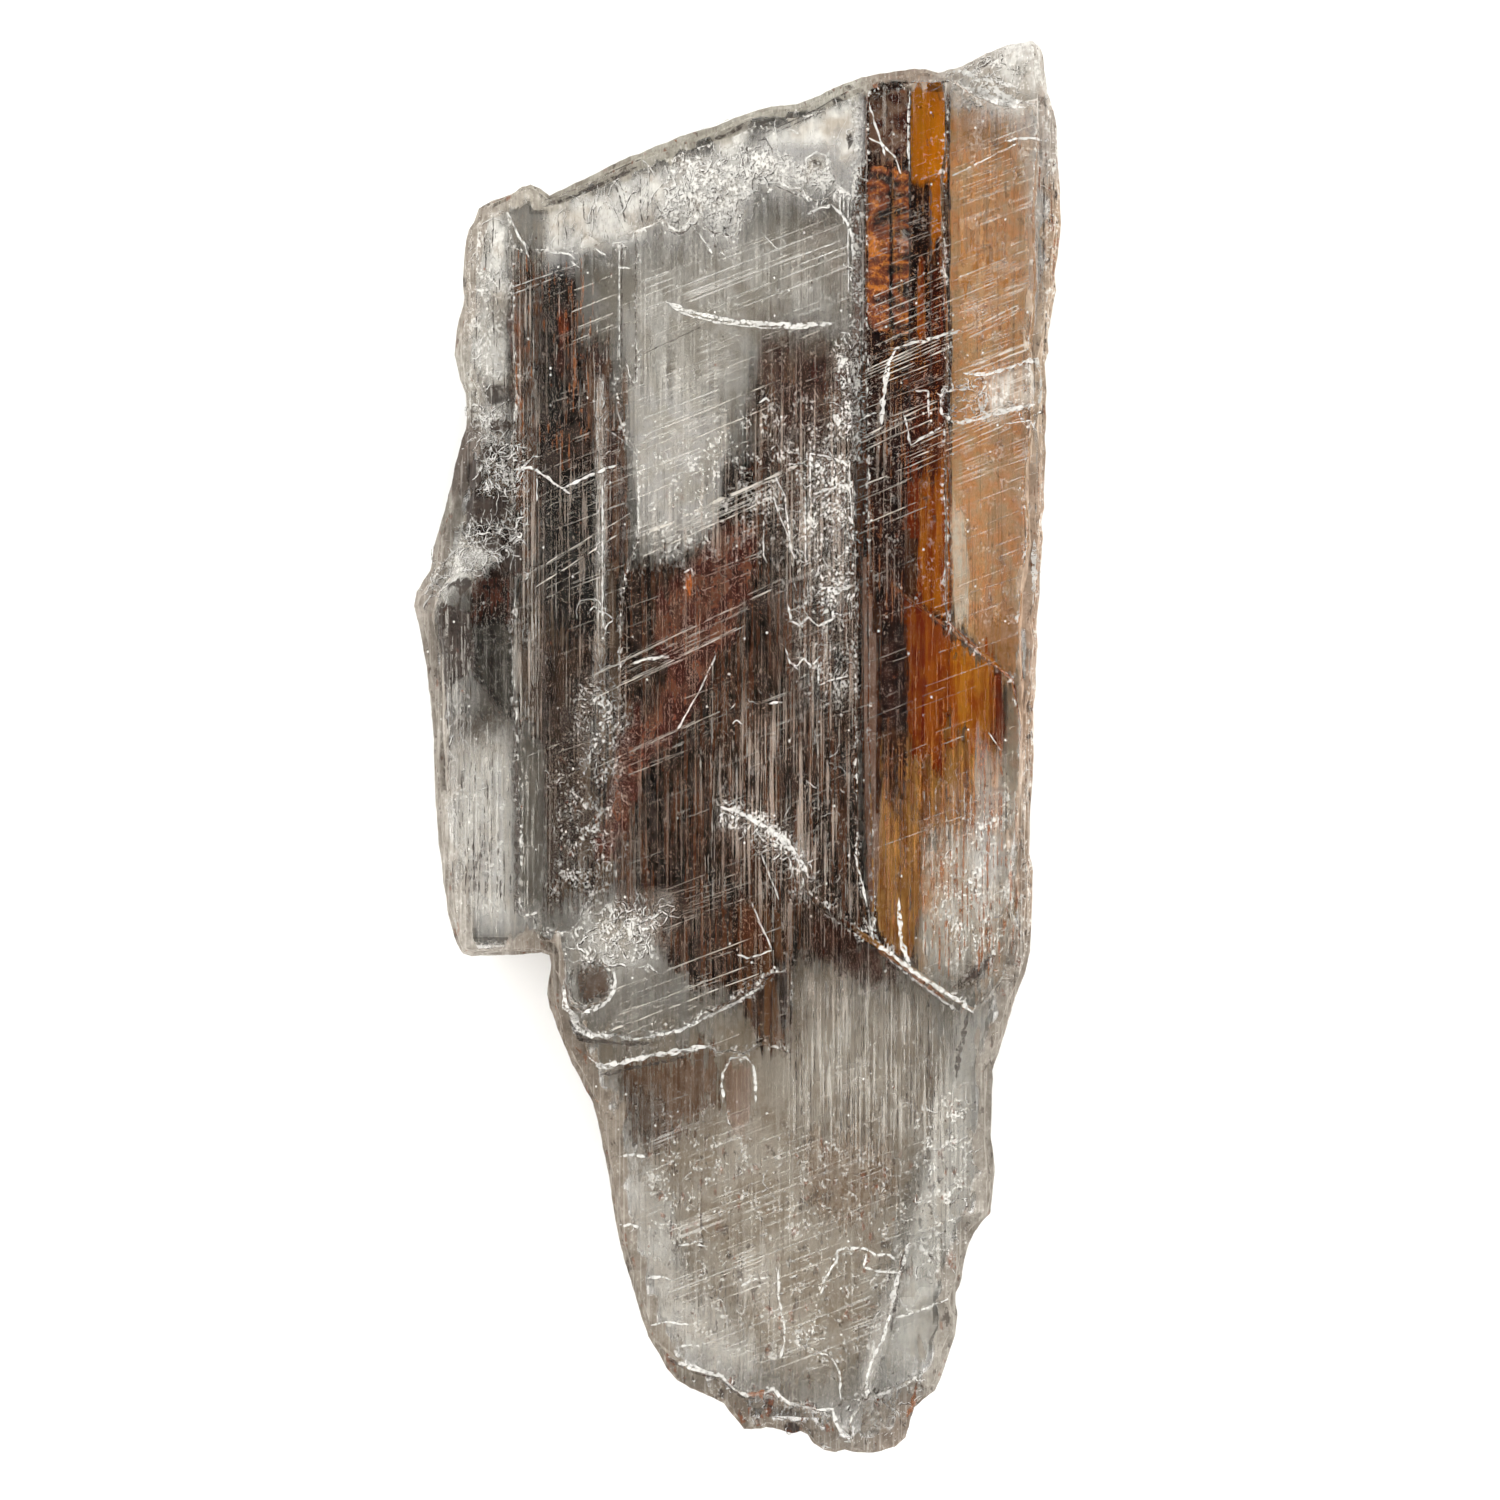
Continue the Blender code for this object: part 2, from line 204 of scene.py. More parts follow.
solid = bmesh.new()
solid.from_mesh(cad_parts["selenite_crystal"].data)
bmesh.ops.remove_doubles(solid, verts=solid.verts, dist=1e-6)
bmesh.ops.dissolve_limit(solid, angle_limit=math.radians(0.3), verts=solid.verts, edges=solid.edges)
low, high = (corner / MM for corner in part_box("selenite_crystal"))
for axis in (1, 2, 0):
    steps = int((high - low)[axis] / BODY_GRID[axis])
    planes = [low[axis] + BODY_GRID[axis] * step for step in range(1, steps)]
    cut_in_planes(solid, solid.faces[:], axis, planes)
noise.seed_set(BREAK_SEED)
for vert in solid.verts:
    vert.co = skin_moved(vert.co / MM) * MM
body_shape = BVHTree.FromBMesh(solid)
breaks = [edge for edge in solid.edges if len(edge.link_faces) == 2 and edge.calc_face_angle() > SHARP_TURN]
break_points = KDTree(2 * len(breaks))
for edge in breaks:
    break_points.insert(edge.verts[0].co / MM, 0)
    break_points.insert((edge.verts[0].co + edge.verts[1].co) / 2 / MM, 0)
break_points.balance()
skin = solid.copy()

clear, shader, start = new_finish("clear_gypsum")
shader.inputs["Base Color"].default_value = (1, 1, 1, 1)
shader.inputs["IOR"].default_value = BODY_IOR
shader.inputs["Transmission Weight"].default_value = 1.0
shader.inputs["Roughness"].default_value = BODY_GLOSS
fine = start.grain((5, 0.12, 1), detail=1, roughness=0.6) + start.grain((1.2, 1.2, 1.2), detail=0) * 0.5
plug(start.add("Bump", {}, {"Height": fine, "Distance": 0.012 * MM, "Strength": 1.0}), shader, "Normal")
taken = [-math.log(share) / (BODY_TINT_LENGTH * MM) for share in BODY_TINT]
absorb_colour = (*[1 - each / max(taken) for each in taken], 1)
absorb = start.add("VolumeAbsorption", {}, {"Color": absorb_colour, "Density": max(taken)})
plug(absorb, clear.node_tree.nodes["Material Output"], "Volume")
body = new_piece("selenite", solid, clear)
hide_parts("selenite_crystal")


# ---- Haze, clay and iron inside ---------------------------------------------------------------------
# The blade grew in mud, and took in milky haze, brown clay and films of iron along its sheets. Each seam is
# a thin ragged sheet at its own depth, with ends that fray along the fibres.
LIT_INSIDE = 0.95  # how bright pure white looks inside the blade, from 0 to 1
KEPT_INSIDE = 0.2  # the share of the light inside that the skin turns back
SHEEN = 0.03  # what the skin and its marks add over it
MARKS_PASS = 0.8  # the share of the light that comes through the marks on the skin, in and out
SEAM_GRID = (0.4, 0.8)
FRAY_STRETCH = 5.0  # how many times further a seam frays along the fibres than across them
KEEP_UNDER = 0.3  # how far a seam stays under the skin
LEAST_ROOM = 0.2  # how thick the blade still is between the two where it can hold a seam
RIM_WIDTH = 0.5  # how far seams end from where it can't
SEAM_SWAY = 0.5
FAR_OUTSIDE = -9.0
SEAM_LOOKS = ("inside", "cover", "streaky", "mottled", "fray")
SEAM_GAP = 0.02  # how far apart two seams lie under the skin for each millimetre between their heights

# A seam: its height, its two colours, how much it covers, how streaky and how mottled it is from 0 to 1,
# how far its edge frays, and its outline.
HAZE = (
    (3.4, (198, 195, 187), (160, 154, 143), 0.62, 0.3, 0.8, 0.8, [(-28, 61), (28, 61), (28, -61),
        (-28, -61)]),
    (5.2, (186, 174, 157), (150, 136, 119), 0.85, 0.3, 1.0, 0.9, [
        (-13, -24), (-5, -25), (2, -20), (5, -17), (12, -19), (18, -24), (18.4, -30), (15, -36), (12.6, -45),
        (10.4, -53), (2, -53.4), (-3, -50), (-5, -42), (-8, -38), (-10, -32)]),
    (4.6, (213, 210, 200), (150, 144, 133), 0.94, 0.15, 1.0, 0.7, [
        (-13.4, 41), (-9, 42.6), (-4, 44), (1, 45), (3.4, 47), (9.6, 45.6), (9.8, 34), (4, 35), (1, 31),
        (0.6, 24),
        (-1.4, 22), (-2.4, 17), (-8, 15.4), (-9.4, 24), (-9.8, 34), (-13, 36)]),
    (4.2, (176, 168, 156), (150, 141, 128), 0.6, 0.6, 0.4, 0.5, [
        (-18.4, 2), (-16.1, 1), (-16.1, -14.2), (-18.2, -14.2)]),
    (4.4, (146, 138, 127), (116, 106, 96), 0.85, 0.5, 0.6, 0.5, [
        (-24.4, 3.6), (-19.4, 3.4), (-18.9, -1), (-24.6, -1)]),
)
CLOUD = (
    (6.2, (240, 240, 233), (182, 178, 168), 0.95, 0.1, 0.9, 1.1, [
        (-9.3, 30), (-7, 31.4), (-4.6, 30.4), (-1.2, 29), (-0.4, 26), (-1.2, 20), (-2.4, 17.4), (-4.6, 16.6),
        (-6.4, 18.4), (-8.2, 18.6), (-9.2, 24)]),
    (10.0, (250, 250, 246), (226, 226, 219), 0.98, 0.2, 0.3, 0.4, [
        (-15.9, 41.5), (-14.2, 41.4), (-12.9, 42.4), (-10.7, 42.3), (-8.7, 42.5), (-6.9, 43.9), (-5.2, 43.1),
        (-4.4, 43.2), (-3.6, 44.4), (-2, 43.1), (-0.5, 42.5), (0, 43.6), (1.5, 46.6), (4.4, 46.8),
        (6.2, 46.2),
        (8, 47.6), (9.4, 46.2), (10.4, 46.2), (10.5, 54.8), (7.4, 53.5), (2.1, 51.1), (-4.8, 49.5),
        (-10.4, 47.1),
        (-16, 45.2)]),
    (10.4, (240, 237, 230), (196, 190, 179), 0.92, 0.7, 0.3, 0.6, [
        (-23.4, -1), (-19.2, -0.5), (-18.9, -13.8), (-16.8, -15), (-17, -16.4), (-23, -15.6), (-23.8, -8)]),
    (10.2, (236, 233, 226), (190, 184, 173), 0.9, 0.4, 0.9, 0.7, [
        (-22.4, 44.6), (-19.6, 45.6), (-19.2, 38), (-19.8, 30), (-21.6, 26.4), (-22.4, 30), (-23, 34)]),
    (10.6, (222, 219, 212), (186, 181, 172), 0.92, 0.3, 0.9, 0.5, [
        (-25, 20.4), (-23.2, 21.4), (-22.9, 17), (-23.2, 14), (-25.6, 12.8), (-26.2, 14.4), (-25.4, 17)]),
    (6.6, (220, 207, 190), (180, 150, 120), 0.9, 0.5, 1.0, 0.9, [
        (15.6, -8.6), (18, -7.4), (21.6, -7.6), (23.4, -9), (23.6, -16), (22.4, -20), (20, -21),
        (15, -17.6)]),
    (8.6, (222, 218, 209), (186, 180, 169), 0.88, 0.7, 0.6, 0.9, [
        (18.6, -23), (22, -22.4), (20.8, -28), (20.8, -36), (19, -41), (17.4, -50), (16, -53), (12.4, -52),
        (13, -46), (15, -40), (16.4, -32)]),
    (6.2, (218, 213, 204), (190, 182, 170), 0.85, 0.2, 0.5, 0.9, [
        (-9.6, -36), (-5.6, -38), (-5, -44), (-2, -48.6), (1, -50), (2, -53), (-3, -52), (-6.6, -48.6),
        (-8.6, -43)]),
    (9.6, (222, 216, 206), (180, 170, 156), 0.9, 0.6, 0.8, 0.5, [
        (-19.8, 45.8), (-17.4, 46.8), (-15.8, 45.6), (-15.8, 41.4), (-17, 41.6), (-17, 42.8),
        (-19.4, 42.2)]),
    (9.8, (250, 249, 245), (232, 228, 220), 0.97, 0.2, 0.5, 0.5, [
        (22, 57.8), (23.6, 59.4), (25.4, 60), (26.2, 58.8), (25.8, 56.6), (24, 57)]),
    (9.8, (252, 249, 243), (220, 196, 170), 0.92, 0.4, 0.8, 0.5, [
        (17.8, 57.4), (20.6, 58.2), (23, 57.4), (25.6, 56.6), (26.4, 53.6), (25.6, 50.6), (23.6, 51.4),
        (22.6, 54),
        (18.4, 54.4)]),
    (9.6, (240, 226, 210), (216, 186, 158), 0.65, 0.7, 0.6, 0.7, [
        (23.7, 54), (25.8, 54), (26, 40), (25.6, 28), (24.8, 14), (24.1, 14), (24.3, 30), (24.5, 42)]),
    (8.4, (104, 84, 72), (76, 56, 47), 0.9, 0.4, 0.8, 0.9, [
        (2, 34), (4, 34.6), (8.4, 34.4), (9.7, 33.4), (9.9, 25.6), (1.8, 25), (1, 28), (1.5, 31)]),
    (9.0, (152, 143, 132), (134, 124, 113), 0.75, 0.3, 0.8, 0.6, [
        (4.6, 40.6), (5.8, 44), (7, 44.9), (8.4, 44.5), (9.4, 43), (9.6, 37), (8.2, 37), (7.2, 40)]),
    (10.6, (222, 219, 213), (190, 184, 175), 0.85, 0.5, 0.4, 0.5, [
        (13.7, -46.6), (12.9, -49.4), (11.8, -52.4), (11.5, -55.2), (10.5, -55), (10.4, -52.6),
        (11.4, -49.6),
        (12.5, -46.6)]),
    (10.2, (248, 246, 241), (228, 224, 216), 0.9, 0.2, 0.3, 0.3, [(-20.9, 44.6), (-19.4, 44.4),
        (-19.4, 37.8), (-20.7, 37.6)]),
    (10.4, (246, 242, 235), (216, 206, 192), 0.8, 0.3, 1.0, 1.0, [
        (19.9, -0.6), (22.2, -1.6), (22.6, -6), (22, -14), (20, -14.4), (19.4, -9), (20.2, -5)]),
    (10.8, (255, 254, 252), (246, 244, 240), 0.98, 0.2, 0.3, 0.35, [
        (18.9, 55.9), (20.6, 55.6), (22.6, 55.3), (24, 54.3), (22.8, 53.6), (20.8, 54.1), (19.1, 54.9)]),
    (10.8, (255, 254, 252), (246, 244, 240), 0.98, 0.2, 0.3, 0.35, [(17.7, 57.7), (18.8, 57.5), (20.3, 56),
        (18.6, 56.1)]),
    (10.2, (220, 216, 208), (186, 179, 168), 0.75, 0.2, 0.9, 0.9, [(-7, -47.8), (-3.6, -47.8), (-3, -50.6),
        (-6, -50)]),
    (10.2, (216, 212, 204), (184, 177, 166), 0.7, 0.3, 0.8, 0.8, [(-0.2, -44.2), (3, -43.8), (3.2, -46),
        (0.4, -46.4)]),
    (10.2, (206, 203, 196), (176, 170, 160), 0.7, 0.6, 0.8, 0.9, [(13.8, -43.8), (18.6, -43), (18, -47),
        (15.6, -52), (12.2, -52.6)]),
    (5.6, (228, 198, 168), (194, 156, 124), 0.95, 0.5, 0.6, 0.5, [
        (21.8, 9), (24.6, 9), (24.3, -9.4), (21.6, -8.6), (21.7, 0)]),
)
CLAY = (
    (9.4, (134, 108, 92), (78, 55, 44), 0.92, 0.3, 1.0, 0.6, [(11, 56.3), (14.3, 56), (14.4, 49.4),
        (12.8, 48.6), (11, 49.4)]),
    (5.0, (104, 72, 52), (70, 46, 33), 0.97, 0.7, 0.5, 0.3, [
        (9.7, 55.4), (18.1, 57.2), (18.2, 10), (15.6, -18.5), (11.4, -17), (10, 8)]),
    (7.6, (74, 64, 59), (48, 37, 32), 0.97, 0.35, 1.0, 0.6, [
        (-16.9, 41.3), (-13.8, 41.4), (-13.5, 36), (-12.9, 28), (-11.8, 22), (-12.4, 18), (-16.5, 18),
        (-17, 30)]),
    (8.0, (74, 73, 71), (62, 60, 57), 0.8, 0.3, 0.9, 0.9, [
        (-16.2, 40), (-14.6, 40.6), (-14.8, 35), (-14.9, 25), (-16, 25)]),
    (6.6, (112, 84, 70), (58, 42, 35), 0.94, 0.8, 0.6, 0.9, [
        (-19.4, 40), (-17, 42.4), (-16.4, 40), (-16.4, 16), (-18.8, 14), (-19.2, 26)]),
    (7.2, (76, 61, 54), (106, 86, 74), 0.92, 0.8, 0.5, 0.7, [
        (-13.2, 34.4), (-11.9, 35), (-10.9, 34.6), (-10.4, 27), (-9.6, 32), (-9.3, 22), (-9.2, 15),
        (-13, 15)]),
    (8.2, (72, 70, 68), (50, 42, 38), 0.95, 0.5, 0.7, 0.8, [
        (-16.6, 22), (-11.6, 22.6), (-11.2, 15), (-11.6, 9), (-14.8, 9.6), (-16.4, 13)]),
    (6.0, (108, 92, 79), (66, 51, 43), 0.93, 1.0, 0.5, 0.8, [
        (-18.6, 16), (-9.8, 17), (-9.6, 2), (-10.4, -13), (-16.2, -14), (-16.2, 1), (-18.6, 2)]),
    (7.4, (62, 49, 43), (90, 76, 68), 0.8, 0.7, 0.6, 0.8, [
        (-17.8, 8), (-12.4, 9), (-12, 3), (-13.4, -2), (-12, -6), (-16, -13.4), (-16.2, 1), (-17.6, 3)]),
    (6.6, (92, 70, 58), (44, 31, 25), 0.97, 1.0, 0.5, 0.8, [
        (-9.6, 15.6), (-7, 15.8), (-4.4, 16.2), (-1.6, 19), (1, 24), (2, 26), (9.8, 26.4),
        (10.3, 10), (10.4, -9), (11.2, -16.6), (4.6, -18.4), (0, -21), (-3.6, -20.6), (-7.4, -16.4),
        (-10.4, -14),
        (-10.2, 2)]),
    (9.2, (60, 46, 40), (40, 29, 25), 0.9, 0.4, 0.4, 0.4, [
        (-1.3, 23.9), (1.4, 24), (1.5, 19), (-1.4, 19.4)]),
    (8.4, (72, 52, 44), (48, 34, 29), 0.94, 0.5, 0.7, 0.4, [
        (10.9, 56.4), (14.3, 56), (14.5, 48), (14.6, 34), (14.4, 27), (14.1, 12), (14.3, -2), (13.6, -7),
        (12.2, -3), (12.1, 10), (10.9, 20)]),
    (9.4, (58, 30, 20), (46, 24, 17), 0.95, 0.6, 0.3, 0.25, [
        (14.5, 47.2), (16.1, 47.4), (16.2, 37), (15.6, 35), (14.6, 36)]),
    (9.0, (70, 37, 20), (92, 50, 24), 0.9, 0.8, 0.4, 0.4, [
        (14.7, 37), (17.6, 42), (17.6, 27.6), (14.4, 27)]),
    (7.0, (58, 48, 42), (92, 81, 73), 0.93, 0.5, 0.9, 0.6, [
        (-21.6, 33), (-19.2, 32), (-18.8, 14), (-19, 9.6), (-22.4, 9), (-22.6, 13), (-22.4, 16.6),
        (-22.6, 21),
        (-22.8, 24), (-22.4, 26.4), (-20.8, 27)]),
    (8.4, (98, 88, 80), (76, 66, 60), 0.85, 0.5, 0.5, 0.4, [
        (-23.9, 26), (-22.6, 26.2), (-22.6, 21.4), (-23.8, 21.4)]),
    (9.0, (40, 32, 27), (58, 46, 40), 0.96, 0.3, 0.6, 0.35, [
        (-22.7, 24), (-21.9, 24.4), (-21.5, 23), (-21.8, 21.9), (-22.5, 22.2)]),
    (9.0, (42, 33, 28), (58, 46, 39), 0.96, 0.3, 0.6, 0.35, [
        (-22.5, 20.9), (-20.6, 21.4), (-19, 21), (-18.9, 19.8), (-20.4, 19.2), (-22.3, 19.6)]),
    (9.0, (44, 35, 30), (60, 48, 42), 0.94, 0.3, 0.6, 0.3, [
        (-21.9, 25.1), (-19.6, 25.2), (-19.5, 24.3), (-21.4, 24.1)]),
    (9.0, (44, 35, 30), (64, 52, 45), 0.94, 0.3, 0.6, 0.4, [
        (-22, 19.2), (-20.8, 19), (-20.3, 17.2), (-21.6, 16.8)]),
    (9.0, (46, 36, 31), (66, 52, 45), 0.94, 0.3, 0.6, 0.4, [
        (-20.2, 18.4), (-18.5, 18.2), (-18.3, 15.2), (-19.9, 15.4)]),
    (9.2, (64, 48, 40), (84, 64, 55), 0.95, 0.5, 0.6, 0.5, [
        (-22.6, 14.6), (-19.4, 15.6), (-18.8, 13), (-18.8, 9.6), (-22.3, 9.4)]),
    (9.6, (82, 80, 76), (62, 57, 53), 0.97, 0.4, 0.4, 0.15, [
        (-22.3, 10.4), (-20, 11), (-18.9, 10), (-18.8, 2.1), (-20.3, 3.6), (-22.2, 6.1)]),
    (8.0, (64, 57, 51), (122, 114, 105), 0.9, 1.0, 0.6, 0.8, [
        (-25.2, 11.6), (-22.4, 11), (-22.2, 6.4), (-24.8, 4.6)]),
    (7.6, (108, 80, 63), (66, 49, 39), 0.95, 0.9, 0.4, 0.4, [
        (-0.2, -12.6), (3.4, -13), (4.6, -17), (4.5, -26), (2, -25.4), (0, -21), (-0.4, -17)]),
    (8.8, (50, 40, 36), (38, 30, 27), 0.9, 0.5, 0.3, 0.3, [
        (3.0, -17.6), (4.5, -19), (4.6, -22.6), (3.9, -26), (3.2, -20)]),
    (7.8, (88, 64, 50), (66, 48, 38), 0.93, 0.5, 0.5, 0.6, [
        (6.4, -14), (8, -14.2), (10.6, -16.4), (13.6, -18.4), (13.2, -20), (10.8, -20.4), (8, -18.6),
        (6, -17)]),
    (6.2, (134, 110, 94), (100, 80, 68), 0.88, 0.9, 0.4, 1.0, [
        (-10, -26.6), (-1.6, -25.8), (-1.6, -30), (-4.4, -32), (-6, -33.4), (-9.6, -31)]),
    (7.2, (88, 75, 67), (108, 94, 84), 0.85, 0.6, 0.6, 0.7, [
        (-9.2, -29), (-6.4, -29.6), (-6, -33), (-7.4, -34.4), (-9, -32.6)]),
    (9.0, (86, 71, 62), (110, 95, 86), 0.92, 0.3, 0.7, 0.3, [
        (-13.8, -19.4), (-12.6, -18), (-11, -18.4), (-10.5, -19.8), (-11.2, -21.2), (-12.8, -21.7)]),
    (10.4, (84, 68, 58), (60, 47, 41), 0.96, 0.6, 0.6, 0.2, [
        (18.1, -20.3), (18.8, -19), (20.2, -17.9), (21.8, -17), (21.4, -18.4), (20, -20)]),
    (8.0, (98, 91, 84), (140, 130, 120), 0.85, 0.4, 0.5, 0.2, [
        (19.0, -22.2), (19.7, -22.2), (19.2, -24.6), (18.9, -28), (18.1, -28.1), (18.7, -24.6)]),
    (6.4, (126, 104, 86), (150, 133, 115), 0.75, 0.6, 0.6, 0.9, [
        (5.6, -33), (9, -32.6), (13, -33), (13.6, -38), (9, -40.6), (6.4, -39)]),
    (9.0, (120, 104, 89), (150, 136, 121), 0.93, 0.3, 0.9, 0.4, [
        (0.6, -55), (4, -55.4), (8, -57), (9, -59), (1.6, -57.4), (-4.6, -54), (-3.4, -53.2)]),
    (9.0, (128, 114, 100), (156, 144, 130), 0.92, 0.3, 0.9, 0.4, [
        (10.6, -55.6), (15.2, -54), (14.2, -56.8), (12.6, -59), (10.2, -58.8)]),
    (10.2, (150, 150, 144), (124, 122, 116), 0.9, 0.2, 0.7, 0.1, [
        (5.9, 49.2), (6.4, 49.7), (7.1, 49.5), (7.5, 48.7), (7.0, 47.8), (6.2, 47.9)]),
    # Painted shadow: this dull sheet stands for the shade along the bevel.
    (10.2, (120, 114, 104), (148, 142, 130), 0.85, 0.6, 0.4, 0.3, [
        (-2.2, 51.1), (-0.6, 51.7), (1, 52.7), (1, 53.2), (-0.6, 52.4), (-2.4, 51.7)]),
    (9.4, (138, 128, 115), (112, 100, 88), 0.9, 0.1, 0.8, 0.12, [
        (-19.3, 31.4), (-18.7, 31.8), (-18.0, 31.6), (-17.8, 31), (-18.1, 30.4), (-18.7, 30.2),
        (-19.2, 30.6)]),
    (9.6, (58, 46, 40), (42, 33, 29), 0.9, 0.2, 0.5, 0.2, [(1.4, 30.4), (2.2, 30.6), (2.6, 29.8),
        (2.4, 28.6), (1.6, 28.8)]),
)
IRON = (
    (7.8, (98, 58, 36), (74, 44, 28), 0.85, 0.8, 0.3, 1.0, [
        (14.4, 28), (17.8, 28), (17.8, 24.5), (16.6, 22.6), (15.6, 23.6), (14.4, 22)]),
    (7.4, (220, 128, 12), (198, 110, 8), 0.97, 0.4, 0.4, 0.2, [
        (14.7, 56.2), (17.5, 56.6), (17.7, 47.6), (14.8, 47.4), (14.5, 51)]),
    (7.6, (196, 114, 22), (164, 90, 18), 0.95, 0.6, 0.3, 0.25, [
        (16.15, 48), (17.3, 48), (17.3, 43.4), (16.8, 43), (16.3, 40)]),
    (9.6, (166, 92, 30), (118, 62, 26), 0.85, 0.8, 0.2, 0.3, [
        (15.1, 41), (15.7, 41), (15.8, 34), (15.1, 34)]),
    (7.0, (184, 106, 32), (128, 68, 16), 0.97, 0.9, 0.3, 0.3, [
        (15.3, 27.4), (17.7, 27.8), (17.9, 20), (18, 10.2), (15.2, 12)]),
    (7.4, (126, 66, 22), (84, 44, 20), 0.95, 0.9, 0.3, 0.3, [
        (14.2, 28), (15.5, 28), (15.4, 11.8), (14.1, 13)]),
    (7.4, (160, 88, 28), (112, 60, 20), 0.98, 0.8, 0.5, 1.0, [
        (14.1, 13.2), (18.3, 9.6), (18, 4), (17.4, -1), (15.4, -2), (14.3, 1)]),
    (7.8, (196, 122, 44), (148, 80, 20), 0.95, 0.8, 0.5, 1.0, [
        (18, 9.7), (22, 6.7), (21.9, 1.4), (20.4, 0.2), (18.2, 1)]),
    (6.2, (196, 140, 80), (150, 92, 42), 0.95, 1.0, 0.4, 1.3, [
        (14.4, 2.4), (18, 3.4), (22, 2.6), (22.2, -5), (20.4, -7.8), (15.2, -8)]),
    (6.8, (230, 170, 122), (214, 146, 96), 0.97, 0.3, 0.8, 0.4, [
        (17.9, 54.6), (21, 53.6), (24.6, 53.8), (25.2, 48), (25.1, 30), (24.2, 17), (23.8, 8), (23, 6),
        (18.2, 10.2), (18, 30)]),
    (7.0, (200, 142, 90), (220, 174, 134), 0.6, 0.3, 0.8, 1.0, [
        (18.6, 53.8), (22, 53), (21, 50), (18.8, 50.4)]),
    (7.0, (214, 136, 68), (228, 168, 118), 0.75, 0.3, 0.9, 1.4, [
        (18.8, 43.6), (22, 43), (23.6, 40), (23, 36), (20, 36.6), (18.6, 39)]),
    (7.4, (198, 142, 92), (220, 168, 126), 0.7, 0.3, 0.9, 1.2, [
        (18.8, 47), (21.6, 47.4), (22, 43.6), (19, 43)]),
    (7.0, (194, 132, 76), (212, 160, 118), 0.7, 0.3, 0.8, 1.1, [
        (20, 11.4), (23.6, 12), (23.6, 6.6), (22.4, 6.4), (19.8, 8.6)]),
    (9.8, (236, 222, 204), (204, 176, 146), 0.85, 0.7, 0.8, 0.6, [
        (18, 20.6), (19, 20), (19.6, 14), (19.4, 10.2), (18.3, 10.6), (18.1, 14)]),
    (9.8, (124, 64, 18), (90, 44, 14), 0.97, 0.6, 0.5, 0.12, [
        (21.5, 6.3), (22.2, 6.2), (22.5, 1.6), (22.3, -0.7), (21.1, 0.9), (21, 1.5), (21.7, 1.6)]),
    (6.8, (196, 142, 86), (132, 88, 50), 0.95, 1.0, 0.4, 0.5, [
        (12.1, 1.6), (15.4, 2), (15.4, -12), (14.8, -17.6), (13.4, -17.2), (11.8, -15.8), (11.6, -10),
        (12, -4)]),
    (9.8, (196, 140, 84), (178, 114, 58), 0.45, 0.9, 0.6, 1.0, [
        (15.9, -9), (17.6, -8), (18, -12), (16.6, -14.6), (15.6, -13)]),
    (8.4, (136, 112, 100), (104, 82, 72), 0.92, 0.4, 0.6, 0.25, [
        (10.5, 20), (12, 20), (12.1, 0), (11.9, -12), (11.4, -15.6), (10.9, -12), (10.6, 4)]),
    (8.8, (124, 88, 74), (88, 60, 50), 0.85, 0.3, 1.0, 0.7, [
        (-3.6, 16), (0, 19.6), (1.6, 20), (1.4, 13.6), (-0.6, 9), (-1.8, 7.4), (-4.8, 1.6), (-7.4, -1.6),
        (-9.6, -6.6), (-11, -10), (-12, -8.4), (-10.8, -4), (-9.4, 2), (-6.6, 4), (-5.6, 7), (-7.4, 9),
        (-6.8, 12.4), (-4.4, 14.4)]),
    (9.6, (196, 106, 44), (150, 84, 50), 0.8, 0.2, 0.5, 0.3, [
        (-4.4, 14.6), (-3.7, 14.4), (-3.7, 12.8), (-4.5, 12.6)]),
    (9.4, (132, 74, 36), (88, 53, 38), 0.85, 0.3, 0.8, 0.5, [
        (-15.2, 36), (-14, 36.2), (-13.8, 34), (-15, 34)]),
    (9.2, (104, 66, 46), (76, 58, 48), 0.7, 0.3, 0.8, 0.5, [
        (-15.6, 33), (-13.6, 32.8), (-13.6, 31.8), (-15.4, 32)]),
    (7.6, (150, 84, 40), (100, 60, 40), 0.6, 0.8, 0.6, 0.5, [
        (-19.2, 37), (-18.4, 37), (-18.2, 29), (-19, 29)]),
    (8.0, (112, 78, 60), (90, 62, 48), 0.8, 0.5, 0.6, 0.5, [
        (0, -13), (1.4, -13.2), (2.6, -16.6), (1.2, -17.4), (0, -17.2)]),
    (9.8, (134, 114, 106), (112, 90, 82), 0.9, 0.8, 0.3, 0.2, [(9.7, 45), (10.2, 45), (10.25, 34),
        (9.7, 34)]),
    (10.0, (186, 180, 173), (162, 154, 147), 0.9, 0.8, 0.2, 0.15, [(10.3, 46), (10.65, 46), (10.65, 34),
        (10.3, 34)]),
    (8.0, (140, 104, 88), (120, 90, 78), 0.5, 0.6, 0.5, 0.5, [
        (-1.2, -26.8), (0.8, -26.4), (1.2, -29), (0.6, -33), (-0.6, -33), (-1, -29)]),
)


def seen_inside(colour, height=12.0):
    """The paint that looks like a colour from 0 to 255 when it lies at a height inside the blade."""
    share = [each / 255 for each in colour]
    plain = [each / 12.92 if each <= 0.04045 else ((each + 0.055) / 1.055) ** 2.4 for each in share]
    through = [each ** (2 * max(high.z - height, 0) / BODY_TINT_LENGTH) for each in BODY_TINT]
    lit = [max(each - SHEEN, 0.35 * each) / MARKS_PASS / share for each, share in zip(plain, through)]
    return [min(each / (LIT_INSIDE * (1 - KEPT_INSIDE) + KEPT_INSIDE * each), 0.98) for each in lit] + [1]


